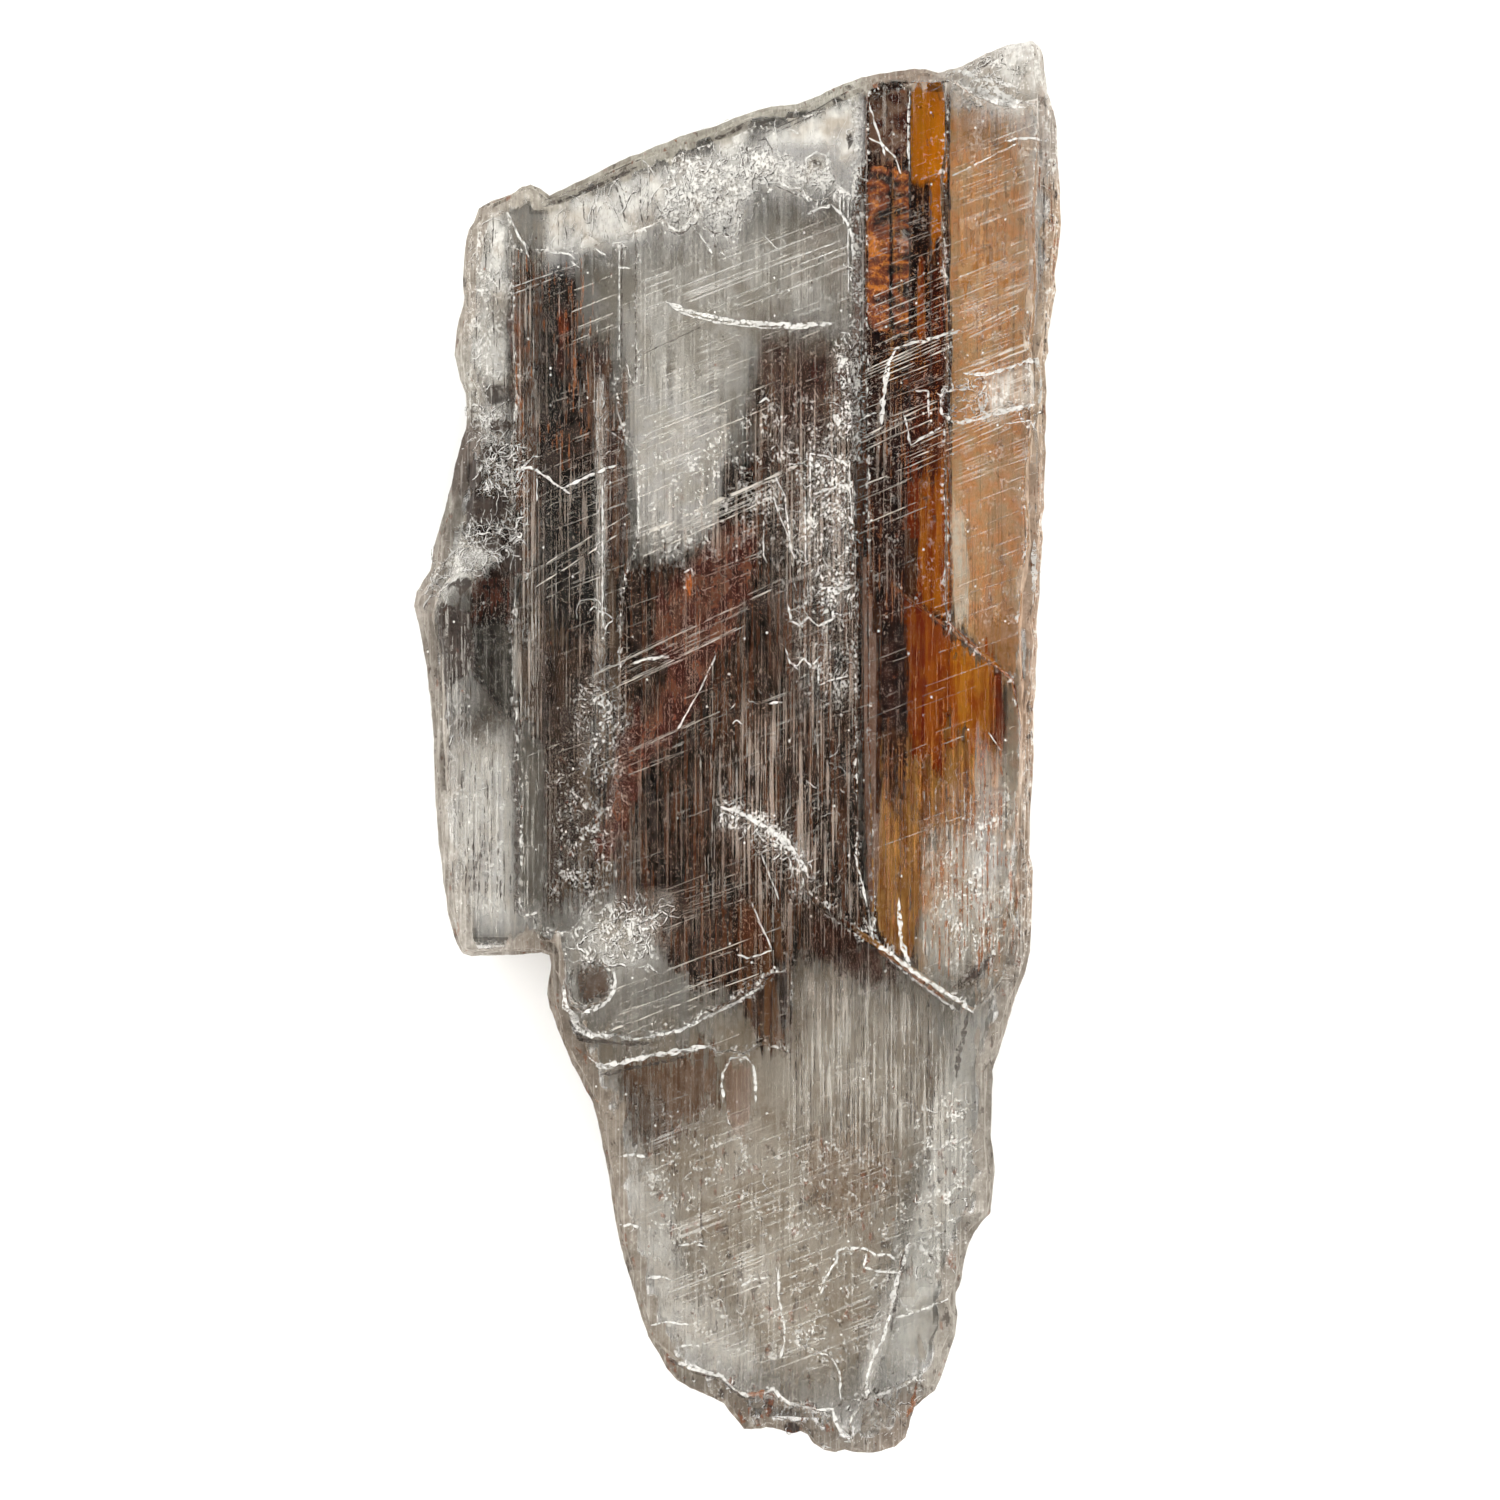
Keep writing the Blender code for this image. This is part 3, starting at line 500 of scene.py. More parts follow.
def depth_in(points, outline, squeeze=1.0):
    """How far points lie inside an outline, or below zero outside it, with lengths along Y squeezed."""
    p = points[:, None, :]
    a = np.array(outline, float)[None]
    b = np.roll(a, -1, axis=1)
    slope = (b[..., 0] - a[..., 0]) * (p[..., 1] - a[..., 1]) / (b[..., 1] - a[..., 1] + 1e-12)
    crossing = ((a[..., 1] > p[..., 1]) != (b[..., 1] > p[..., 1])) & (p[..., 0] < slope + a[..., 0])
    scale = np.array([1, 1 / squeeze])
    p, a, b = p * scale, a * scale, b * scale
    share = np.clip(((p - a) * (b - a)).sum(-1) / ((b - a) ** 2).sum(-1), 0, 1)
    far = np.linalg.norm(p - a - share[..., None] * (b - a), axis=-1).min(axis=1)
    return np.where(crossing.sum(axis=1) % 2 == 1, far, -far)


def close_to(points, outline, margin):
    """Which points are no further than a margin outside the box round an outline."""
    return np.all((points > np.min(outline, 0) - margin) & (points < np.max(outline, 0) + margin), axis=1)


def skin_height(x, y, down=True):
    """The height of the front, or of the back, at a place, or NaN beside the blade."""
    way = Vector((0, 0, -1 if down else 1))
    hit = body_shape.ray_cast(Vector((x, y, 0)) * MM - way * 0.05, way)[0]
    return hit.z / MM if hit else math.nan


def spread(heights, choose):
    """The highest or lowest height among each place and those round it."""
    wide, long = heights.shape
    around = np.pad(heights, ((2, 2), (1, 1)), constant_values=math.nan)
    return choose([around[i:i + wide, j:j + long] for i in range(5) for j in range(3)], 0)


grid_x, grid_y = (np.arange(low[axis], high[axis] + 0.4, SEAM_GRID[axis]) for axis in (0, 1))
front_heights = np.array([[skin_height(x, y) for y in grid_y] for x in grid_x])
back_heights = np.array([[skin_height(x, y, down=False) for y in grid_y] for x in grid_x])
room_top, room_floor = spread(front_heights, np.min) - KEEP_UNDER, spread(back_heights, np.max) + KEEP_UNDER
grid_places = np.stack(np.meshgrid(grid_x, grid_y, indexing="ij"), -1).reshape(-1, 2)
roomy = room_top - room_floor > LEAST_ROOM
bare_rim = KDTree(int((~roomy).sum()))
for i, j in zip(*np.nonzero(~roomy)):
    bare_rim.insert((grid_x[i], grid_y[j], 0), 0)
bare_rim.balance()
from_rim = np.array([bare_rim.find((*place, 0))[2] for place in grid_places]).reshape(roomy.shape)


def lay_seam(mesh, seam):
    """Adds one seam to a mesh, as a sheet that holds its colours and how far each point is inside."""
    height, light, dark, cover, streaky, mottled, fray, outline = seam
    layers = [mesh.verts.layers.float[name] for name in SEAM_LOOKS]
    light_layer, dark_layer = mesh.verts.layers.float_color["light"], mesh.verts.layers.float_color["dark"]
    near = close_to(grid_places, outline, (2, 6))
    depth = np.full(len(grid_places), FAR_OUTSIDE)
    depth[near] = depth_in(grid_places[near], outline, FRAY_STRETCH)
    depth = np.minimum(depth.reshape(roomy.shape), from_rim - RIM_WIDTH)
    made = {}
    for i, j in zip(*np.nonzero(depth > -fray / 2 - 0.6)):
        if not roomy[i, j]:
            continue
        sway = SEAM_SWAY * noise.noise(Vector((grid_x[i] / 9, grid_y[j] / 14, height)))
        z = min(max(height + sway, room_floor[i, j]), room_top[i, j] - (12 - height) * SEAM_GAP)
        vert = made[i, j] = mesh.verts.new(Vector((grid_x[i], grid_y[j], z)) * MM)
        for layer, value in zip(layers, (depth[i, j], cover, streaky, mottled, fray)):
            vert[layer] = value
        vert[light_layer], vert[dark_layer] = seen_inside(light, height), seen_inside(dark, height)
    for i, j in made:
        corners = [made.get(place) for place in ((i, j), (i + 1, j), (i + 1, j + 1), (i, j + 1))]
        if None not in corners:
            mesh.faces.new(corners)


def seam_finish(name, streak_per_mm, mottle_per_mm, soft):
    """A dull sheet between two colours, streaked along the fibres and mottled, with frayed edges."""
    material, shader, start = new_finish(name)
    streak = start.grain((streak_per_mm, 0.07, 0.3), detail=2, roughness=0.6).smooth(0.32, 0.68)
    thread = start.grain((streak_per_mm * 2.4, 0.25, 0.3), detail=1).smooth(0.3, 0.7)
    mottle = start.grain((mottle_per_mm, mottle_per_mm * 0.7, 0.3), detail=3, roughness=0.65)
    mottle = mottle.smooth(0.34, 0.66)
    streaky, mottled = start.held("streaky"), start.held("mottled")
    dark = (streak * 0.6 + thread * 0.4 - 0.5) * streaky + (mottle - 0.5) * mottled * 0.8
    level = dark.smooth(-0.4, 0.4)
    plug(level.mix(start.held("light", "Color"), start.held("dark", "Color")), shader, "Base Color")
    ragged = (streak * 0.4 + thread * 0.3 + mottle * 0.3 - 0.5) * start.held("fray")
    held_in = (start.held("inside") + ragged).smooth(-soft, soft)
    thin = 1 - (1 - mottle) * mottled * 0.2 - (1 - thread) * streaky * 0.15
    plug(held_in * start.held("cover") * thin, shader, "Alpha")
    shader.inputs["Roughness"].default_value = 0.8
    shader.inputs["Specular IOR Level"].default_value = 0.0
    return material


def seams(name, table, finish):
    mesh = bmesh.new()
    for layer in SEAM_LOOKS:
        mesh.verts.layers.float.new(layer)
    for layer in ("light", "dark"):
        mesh.verts.layers.float_color.new(layer)
    for seam in table:
        lay_seam(mesh, seam)
    return new_piece(name, mesh, finish)


seams("haze", HAZE, seam_finish("haze", 1.2, 0.35, 0.9))
seams("milky_clouds", CLOUD, seam_finish("milk", 1.6, 0.5, 0.6))
seams("clay_seams", CLAY, seam_finish("clay", 2.2, 1.1, 0.14))
seams("iron_films", IRON, seam_finish("iron_film", 1.5, 0.7, 0.12))


# ---- The wrinkled iron crust --------------------------------------------------------------------------
# Between two fibres near the top an old iron film dried and wrinkled. It is a thin crumpled sheet just under
# the skin, orange on its folds, split by one straight crack, and darkened between its folds and in the crack
# by painted shade, with a painted highlight in gold on the highest folds.
CRUMPLED = ((10.9, 34.6), (14.5, 48.8))
CRUMPLE_TOP = 12.5
CRUMPLE_DEPTH = 0.7
CRUMPLE_SPLIT = 12.9
CRUMPLE_GRID = 0.15
CRUMPLE_SHADE, CRUMPLE_RUST, CRUMPLE_HIGHLIGHT = (44, 29, 21), (124, 72, 36), (190, 114, 48)

crumpled = bmesh.new()
fold_layer = crumpled.verts.layers.float.new("fold")
side_layer = crumpled.verts.layers.float.new("inside")
(left, bottom), (right, top) = CRUMPLED
columns = []
for x in np.arange(left, right, CRUMPLE_GRID):
    column = []
    for y in np.arange(bottom, top, CRUMPLE_GRID):
        bend = 0.5 * noise.noise(Vector((x / 1.5, y / 2.5, 1.5)))
        fold = 1 - 2.6 * abs(noise.noise(Vector((x / 2.0, (y + bend) / 0.95, 4.5))))
        fold = fold * 0.75 + 0.35 * noise.noise(Vector((x / 0.4, y / 0.3, 2.5)))
        fold -= 1.2 * math.exp(-((x - CRUMPLE_SPLIT - 0.15 * bend) / 0.12) ** 2)
        vert = crumpled.verts.new(Vector((x, y, CRUMPLE_TOP - CRUMPLE_DEPTH * (1 - fold) / 2)) * MM)
        vert[fold_layer] = fold
        vert[side_layer] = min(x - left, right - x, (y - bottom) / 4, (top - y) / 3)
        column.append(vert)
    columns.append(column)
for first, second in zip(columns, columns[1:]):
    for i in range(len(first) - 1):
        crumpled.faces.new((first[i], second[i], second[i + 1], first[i + 1]))
rusty, shader, start = new_finish("wrinkled_iron")
grit = start.grain((4.5, 4.5, 4.5), detail=2, roughness=0.65)
fold = start.held("fold") + (grit - 0.5) * 1.5
# Painted shade deep in the folds and painted highlight on their crests, by the height of each fold.
paint = fold.smooth(-0.45, 0.75).mix(seen_inside(CRUMPLE_SHADE), seen_inside(CRUMPLE_RUST))
paint = (fold + start.grain((0.5, 0.5, 0.5)) * 0.8).smooth(0.85, 1.35).mix(paint, seen_inside(CRUMPLE_HIGHLIGHT))
plug(paint, shader, "Base Color")
ragged = start.grain((2.0, 0.4, 1), detail=4) - 0.5
plug((start.held("inside") + ragged * 0.8).smooth(-0.05, 0.12), shader, "Alpha")
shader.inputs["Roughness"].default_value = 0.7
new_piece("wrinkled_iron", crumpled, rusty)


# ---- Crust, fibres and scratches on the skin ------------------------------------------------------------
# The skin is crusted and etched where the blade broke or weathered, threaded with fibres that catch the
# light, and scratched slantwise, with painted shadow beside its crust and painted shade in its hollows and on
# its frost.
# These are only a film of marks on the skin, so they are laid just over it.
SKIN_LIFT = 0.02
LIT_OUTSIDE = 1.6  # how bright pure white looks on the skin, from 0 to 1
SCRATCH_SLANT = math.radians(21)
# The pale crust, and a dark colour for dark marks and for the painted shadow beside the crust.
CRUST_LIGHT, DARK_MARKS_AND_SHADOW = (246, 244, 238), (72, 60, 51)
MIST, MIST_BROWN = (238, 236, 229), (190, 180, 166)
GRIME, RUST = (58, 46, 40), (126, 66, 34)
# The warm dark colour is for dark marks and painted shadow where iron and clay lie behind.
THREAD_LIGHT, WARM_LIGHT, WARM_DARK_AND_SHADOW = (234, 229, 220), (206, 138, 66), (84, 48, 24)
# Painted shade in holes and hollows, dark with brown mottles.
HOLLOW_SHADE_DARK, HOLLOW_SHADE_BROWN = (38, 30, 26), (62, 50, 43)
FROST_WIDTH = 0.8
CHIPPED, CHIP_WIDTH = 0.35, 0.25  # how crusted a broken edge is, and how wide this is
# Painted shade: the frost is darker between its lumps.
FROST_SHADE = (0.55, 0.52, 0.49, 1)  # how dark the frost is between its lumps

# Where the skin is marked: how crusted, threaded, scratched, misted and grimy from 0 to 1, how softly this
# fades, and its outline.
MARKED = (
    (0.75, 0.2, 0.0, 0.5, 0.05, 0.5, [  # the crusted foot of the etched band
        (-6.2, 48.4), (-4.4, 49.8), (-2, 49.4), (1, 50.2), (3, 50), (5, 49), (7.6, 50), (8, 48), (9.4, 46.6),
        (10.4, 46.2), (6, 46.5), (2.6, 47.1), (1, 46.4), (0, 43.4), (-0.5, 42.4), (-1.6, 42.8), (-3, 44),
        (-4.6, 43),
        (-5.6, 43.1), (-6.6, 44.2)]),
    (0.1, 0.25, 0.0, 0.9, 0.0, 0.5, [  # and its flat places
        (-15.9, 41.5), (-13.4, 41.9), (-8.7, 42.6), (-6.9, 44), (-5.6, 46), (-6.4, 48.6), (-10.4, 47.1),
        (-16, 45.1)]),
    (0.05, 0.2, 0.0, 0.95, 0.0, 0.5, [(2.6, 50.8), (7.9, 50.6), (8.6, 49), (10, 49.4), (10.2, 54.6),
        (7.4, 53.5), (2.4, 51.3)]),
    (0.05, 0.2, 0.0, 0.9, 0.0, 0.5, [(-1.8, 49.2), (0.7, 50), (0.9, 52.4), (-1.9, 51)]),
    (0.3, 0.3, 0.0, 0.3, 0.2, 0.8, [(-22.4, 29), (-19.4, 29), (-19, 25.4), (-22.4, 25.2)]),
    (0.3, 0.2, 0.0, 0.05, 0.0, 0.6, [(-21.8, 24.4), (-18, 24.4), (-18.4, 21.6), (-21.4, 21)]),
    (0.28, 0.2, 0.0, 0.0, 0.0, 0.8, [(-22.8, 19.6), (-18.6, 19.6), (-18.8, 16), (-22, 15.4), (-23, 17)]),
    (0.35, 0.2, 0.0, 0.75, 0.1, 0.8, [(-26.4, 14.6), (-23.6, 17.4), (-20.4, 16.4), (-22.6, 13.6),
        (-25.6, 12.2)]),
    (0.1, 0.2, 0.0, 0.95, 0.0, 0.4, [(-21, 44.8), (-19.3, 44.6), (-19.3, 37.6), (-20.8, 37.4)]),
    (0.3, 0.3, 0.0, 0.5, 0.15, 1.2, [(-23.4, 44), (-19.4, 45), (-19.2, 28), (-23, 28)]),
    (0.6, 0.2, 0.0, 0.15, 0.0, 0.3, [(9.5, 54), (10.5, 54), (10.5, 24), (9.6, 24)]),
    (0.5, 0.3, 0.1, 0.1, 0.0, 0.8, [(8.2, 34.2), (10.3, 34.8), (10.3, 26), (8.2, 26)]),
    (0.18, 0.8, 0.0, 0.3, 0.0, 0.3, [(-11.8, 30.6), (-11.1, 30.6), (-11.1, 8), (-11.8, 8)]),
    (0.2, 0.5, 0.3, 0.05, 0.1, 1.5, [(3.4, 26), (10.3, 26), (10.4, 3), (5, 3), (3, 14)]),
    (0.4, 0.4, 0.2, 0.08, 0.1, 0.8, [(5.6, 25), (9.8, 24.6), (9.9, 11), (5.4, 11)]),
    (0.1, 0.6, 0.2, 0.0, 0.1, 2.0, [(0, 4), (10.3, 4), (10.8, -14), (5, -18), (0, -12), (-4, -4)]),
    (0.4, 0.1, 0.1, 0.1, 0.3, 2.0, [(-13.6, 4.2), (-11.4, 6), (-9.4, 2.4), (-10.6, -3.6), (-12.8, -1.6)]),
    (0.25, 0.3, 0.1, 0.05, 0.3, 2.5, [(-15.6, 1), (-11, -3), (-9, -8), (-9.6, -13), (-16, -13)]),
    (0.42, 0.2, 0.1, 0.4, 0.1, 1.5, [(-13.6, -13.6), (-6, -13), (-7.4, -18.6), (-13.4, -18)]),
    (0.5, 0.2, 0.1, 0.1, 0.0, 0.6, [(-1.6, -4.4), (2, -5.6), (5, -7.8), (6.6, -11), (5.6, -11.6), (3.6, -9),
                                    (-1.6, -6.2)]),
    (0.1, 0.35, 0.15, 0.0, 0.3, 1.5, [(10.8, 10), (18, 12), (18, 57), (10.8, 56)]),
    (0.14, 0.42, 0.55, 0.05, 0.25, 2.0, [(18, 10), (24, 8), (25.4, 28), (26, 54), (18, 54)]),
    (0.12, 0.4, 0.8, 0.1, 0.1, 1.5, [(-9.6, 42), (9.6, 44), (9.6, 35.5), (0.4, 35), (-1.5, 28), (-2.4, 17),
        (-9, 16)]),
    (0.3, 0.1, 0.4, 0.9, 0.0, 0.4, [(20.8, 31), (25.3, 32.5), (25.6, 30.4), (25.3, 28.6), (22, 28),
        (20.5, 27.8),
                                     (20.9, 29.4)]),
    (0.05, 0.4, 0.15, 0.0, 0.1, 2.0, [(-16, 24), (-10, 26), (-9, 8), (-16, 5)]),
    (0.25, 0.5, 0.3, 0.0, 0.2, 2.5, [(-9, 26), (4, 30), (10, 30), (10, 18), (-8, 14)]),
    (0.1, 0.6, 0.1, 0.05, 0.2, 1.2, [(-19.2, 42), (-16.4, 42), (-16, 2), (-19, 2)]),
    (0.15, 0.5, 0.0, 0.34, 0.1, 1.0, [(-25.6, 0), (-19, 1.4), (-19, -14), (-24, -15.6)]),
    (0.15, 0.45, 0.0, 0.05, 0.2, 0.8, [(-25.6, 12), (-22.6, 12), (-22.6, 0), (-25.8, 0)]),
    (0.12, 0.6, 0.1, 0.1, 0.05, 2.0, [(4.6, -19), (13, -19), (18.6, -23), (18.2, -32), (10, -34), (4, -30)]),
    (0.2, 0.3, 0.6, 0.05, 0.3, 2.0, [(-9, -30), (12, -32), (17, -36), (15, -50), (8, -54), (-4, -52),
        (-9, -40)]),
    (0.15, 0.4, 0.1, 0.35, 0.0, 2.0, [(-10.4, -35), (-7, -35), (-5, -44), (-1, -49), (1, -52), (-5, -51),
        (-8.4, -43)]),
    (0.3, 0.5, 0.1, 0.15, 0.35, 1.2, [(13.6, -30), (20, -28), (20, -38), (17.6, -46), (14.6, -44),
        (15.4, -36)]),
    (0.15, 0.0, 0.0, 0.0, 0.45, 0.8, [(-7, -51), (-1, -53), (4, -54.6), (9, -55), (9.4, -59.6), (2, -58.6),
        (-4, -55)]),
    (0.2, 0.1, 0.0, 0.05, 0.5, 0.8, [(9.6, -54), (16, -53), (15.6, -57), (12, -60), (9.6, -59)]),
    (0.3, 0.3, 0.0, 0.72, 0.05, 1.0, [(17.6, 57.6), (26, 60.2), (27, 52), (24.6, 52.6), (18, 54.6)]),
    (0.3, 0.0, 0.0, 1.0, 0.0, 0.3, [(18.9, 55.8), (20.6, 55.6), (22.6, 55.2), (24, 54.2), (22.6, 53.7),
        (20.6, 54.2),
                                    (19, 54.9)]),
    (0.3, 0.0, 0.0, 1.0, 0.0, 0.3, [(17.8, 57.6), (18.8, 57.4), (20.3, 56), (18.6, 56.2)]),
    (0.1, 0.6, 0.0, 0.0, 0.3, 1.2, [(14.6, 1), (23, 2), (23, -7), (16, -8), (12.4, -16), (12, -3)]),
    (0.35, 0.6, 0.0, 0.25, 0.3, 3.0, [(17.6, -6), (20, -3.4), (23.6, -4.4), (24, -20), (16.6, -18),
        (16.4, -10)]),
    (0.3, 0.6, 0.0, 0.2, 0.5, 0.7, [(25.6, 56), (27.8, 56), (27.6, 26), (26.6, -16), (23, -19), (24.2, 6),
        (25.4, 22)]),
)
MARKS = ("crust", "fibre", "scratch", "mist", "grime", "hollow_shade", "warm", "frost")
UNMARKED = (0.03, 0.25, 0.08, 0.0, 0.08, 0.0, 0.0, 0.0)  # the same amounts where none of these outlines is
# Painted shade in the holes and hollows under the crust, which look dark: how dark, and where.
SHADED_HOLLOWS = (
    (1, [(-22.9, 23.6), (-22.2, 24.3), (-21.5, 23.4), (-21.4, 22.2), (-21.9, 21.3), (-22.8, 21.9)]),
    (1, [(-21.8, 25.3), (-20, 25.3), (-19.9, 24.4), (-21.5, 24.2)]),
    (1, [(-22.9, 21), (-21.2, 20.6), (-19.9, 21.3), (-19, 21), (-18.9, 19.6), (-20.4, 19), (-22.8, 19)]),
    (1, [(-22.4, 17.9), (-21, 17.9), (-19.4, 17.4), (-19.6, 16.5), (-21.4, 16.6)]),
    (1, [(-20.9, 27.4), (-19, 27.3), (-19, 26.3), (-20.6, 26.2)]),
    (1, [(-21.4, 30.4), (-19, 30.3), (-18.8, 29), (-21, 28.9)]),
    (1, [(-19.9, 17), (-18, 16.9), (-18.1, 14.6), (-19.7, 15)]),
    (1, [(-25, 13.7), (-23.2, 13.9), (-21.6, 14.6), (-23.2, 12.5)]),
    (1, [(-25.3, 12.2), (-24.4, 12), (-24.2, 9.5), (-24.9, 7.6)]),
    (1, [(-23.9, 10.8), (-23.2, 10.8), (-23.1, 8), (-23.7, 7)]),
    (1, [(9.1, 51.4), (9.7, 51.2), (9.6, 50.3), (9.1, 50.5)]),
    (1, [(3.9, -57), (5.3, -57.2), (5.1, -58.6), (4.1, -58.2)]),
    (1, [(6, -57.8), (6.9, -57.8), (6.8, -58.6), (6.2, -58.6)]),
    (1, [(-25, 11.8), (-22.4, 11.4), (-22.3, 6.4), (-24.6, 4.8)]),
    (0.5, [(6, 49.4), (7.2, 49.3), (7.4, 48.2), (6.2, 48)]),
    (0.45, [(-1.3, 23.9), (1.4, 24), (1.5, 19), (-1.4, 19.4)]),
    (0.6, [(18.2, -20.1), (18.7, -18.9), (20.1, -17.8), (21.7, -17.1), (21.3, -18.5), (19.7, -20)]),
)
HOLLOW_SOFT = 0.4  # how softly a hollow begins
# Where iron and clay behind the marks warm their colour: how much, how softly it fades, and where.
WARM = (
    (1.0, 1.0, [(14.4, 57), (17.8, 57), (18.2, 10), (22.6, 6), (22, -7), (15.6, -9), (15, -17), (12, -15),
        (12, 0),
                (14, 2), (14.2, 26), (10.8, 34), (10.8, 49), (14.4, 50)]),
    (1.0, 1.5, [(17.8, 55), (25.4, 55), (25.6, 20), (24, 2), (22, 6), (18, 10)]),
    (0.3, 2.0, [(-19, 40), (-9, 36), (-9, 14), (3, 32), (14.4, 34), (14.6, -16), (4, -26), (-4, -22),
        (-10, -14),
                (-18.6, 0)]),
)
# The broken rim is frosted. What it looks like at places round the blade: x, y and its colour.
FROST = (
    (-23.4, 30, (186, 182, 173)), (-24.1, 26, (112, 99, 90)), (-24.7, 22.6, (110, 97, 88)),
    (-25.4, 20.2, (160, 155, 145)),
    (-26.4, 17, (164, 155, 145)), (-27.6, 13, (184, 175, 165)), (-27.2, 8, (168, 160, 150)),
    (-26.6, 0, (172, 165, 155)),
    (-25.6, -9, (184, 178, 169)), (-22, -17, (190, 184, 175)), (-16.4, -18, (158, 147, 135)),
    (-14, -27, (138, 125, 111)),
    (-11.6, -36, (150, 139, 126)), (-9, -47, (156, 147, 135)), (-5, -53, (148, 138, 124)),
    (0, -56, (142, 129, 114)),
    (5, -58.5, (148, 136, 122)), (9, -60, (166, 156, 144)), (14.4, -58.4, (146, 131, 117)),
    (17, -52, (176, 170, 160)),
    (19.6, -42, (172, 165, 155)), (21, -30, (166, 159, 149)), (23.4, -22, (172, 163, 152)),
    (25, -8, (190, 168, 148)),
    (25.4, 6, (192, 164, 140)), (26.4, 18, (196, 172, 150)), (27.3, 32, (204, 184, 162)),
    (27.4, 44, (204, 178, 152)),
    (27, 52, (206, 197, 188)), (26.4, 57, (226, 223, 217)), (24, 60, (232, 230, 226)),
    (19, 58, (208, 203, 195)),
    (14, 57.4, (166, 151, 137)), (8, 55.6, (196, 193, 182)), (-4, 51, (188, 184, 172)),
    (-14, 47, (184, 179, 167)),
    (-19, 47, (188, 181, 169)), (-22.6, 45.4, (186, 177, 166)), (-24.6, 38, (184, 175, 164)),
)


def seen_outside(colour):
    """The paint that looks like a colour from 0 to 255 on the skin."""
    plain = [((each / 255 + 0.055) / 1.055) ** 2.4 for each in colour]
    return (*[min(each / LIT_OUTSIDE, 0.9) for each in plain], 1)


skin_places = np.array([vert.co[:2] for vert in skin.verts]) / MM
amounts = np.tile(UNMARKED, (len(skin_places), 1))
for *levels, soft, outline in MARKED:
    near = close_to(skin_places, outline, 1)
    share = np.clip(depth_in(skin_places[near], outline) / soft * 0.5 + 0.5, 0, 1)[:, None]
    amounts[near] = np.maximum(amounts[near], np.array(levels + [0, 0, 0]) * share)
hollows = [(MARKS.index("hollow_shade"), level, HOLLOW_SOFT, outline) for level, outline in SHADED_HOLLOWS]
for column, level, soft, outline in hollows + [(MARKS.index("warm"), *each) for each in WARM]:
    near = close_to(skin_places, outline, 3)
    share = np.clip(depth_in(skin_places[near], outline) / soft * 0.5 + 0.5, 0, 1)
    amounts[near, column] = np.maximum(amounts[near, column], level * share)
for index, vert in enumerate(skin.verts):
    at = vert.co / MM
    from_break = break_points.find(at)[2]
    uneven = 1 + 0.9 * noise.noise(Vector((at.x / 1.3, at.y / 2.6, at.z / 2))) + 0.5 * noise.noise(at / 0.5)
    frosted = min(max(1.5 - bare_rim.find((at.x, at.y, 0))[2] * max(uneven, 0.4) / FROST_WIDTH, 0), 1)
    chipped = CHIPPED * math.exp(-(from_break / CHIP_WIDTH) ** 2) * (1 - 0.8 * frosted)
    edged = (("frost", frosted), ("crust", chipped), ("fibre", 0.4 * frosted), ("grime", 0.35 * frosted))
    for mark, amount in edged:
        column = MARKS.index(mark)
        amounts[index, column] = max(amounts[index, column], amount)
skin.normal_update()
bmesh.ops.delete(skin, geom=[face for face in skin.faces if face.normal.z < -0.7], context="FACES_ONLY")
for layer_name, column in zip(MARKS, amounts.T):
    layer = skin.verts.layers.float.new(layer_name)
    for vert, value in zip(skin.verts, column):
        vert[layer] = value
tone_layer = skin.verts.layers.float_color.new("tone")
tones = np.array([seen_outside(colour)[:3] for *_, colour in FROST])
for vert, place in zip(skin.verts, skin_places):
    near = 1 / (np.sum((np.array([tone[:2] for tone in FROST]) - place) ** 2, axis=1) + 1.5) ** 2
    vert[tone_layer] = (*(near @ tones / near.sum()), 1)
for vert in skin.verts:
    vert.co += vert.normal * SKIN_LIFT * MM

film, shader, start = new_finish("skin_marks")
crust, fibre, scratch, mist, grime, hollow_shade, warm, frost = (start.held(name) for name in MARKS)
thread = start.grain((5.5, 0.08, 0.4), detail=1, roughness=0.6)
broken = start.grain((1.6, 0.3, 0.4), detail=3, place=(7, 3, 1)) - 0.5
light_threads = (thread + broken * 0.45 + fibre * 0.1).smooth(0.58, 0.72) * fibre.smooth(0, 0.8) * 0.46
dark_threads = (1 - thread + broken * 0.45 + fibre * 0.1).smooth(0.58, 0.72) * fibre.smooth(0, 0.6) * 0.34
lines = start.grain((0.03, 7.0, 0.3), detail=1, twist=SCRATCH_SLANT)
patchy = start.grain((0.4, 0.4, 0.3), detail=3, place=(2, 9, 4)) - 0.5
scratches = (lines + patchy * 0.6 + scratch * 0.08).smooth(0.64, 0.8) * scratch.smooth(0, 0.8) * 0.4


def crusted(place):
    """How crusted the skin is, with the lumps and the grit that this comes from."""
    lump = start.grain((0.9, 0.7, 0.9), detail=4, roughness=0.66, place=place)
    grit = start.grain((4.4, 3.2, 3.6), detail=2, roughness=0.65, place=place)
    rim = (lump - 0.5).size().smooth(0.010, 0.0) * crust.smooth(0.3, 0.8) * 0.7
    return (lump * 0.5 + grit * 0.5 + crust * 0.13).smooth(0.56, 0.65).most(rim), lump, grit


def laid_over(below, above):
    """One coat over another, each as (how much it covers, its paint)."""
    cover = above[0] + below[0] * (1 - above[0])
    return cover, (above[0] / cover.most(0.001)).mix(below[1], above[1])


crests, lump, fine = crusted((0, 0, 0))
light_crust = crests * crust.smooth(0, 0.4) * (1 - hollow_shade * 0.85) * 0.9
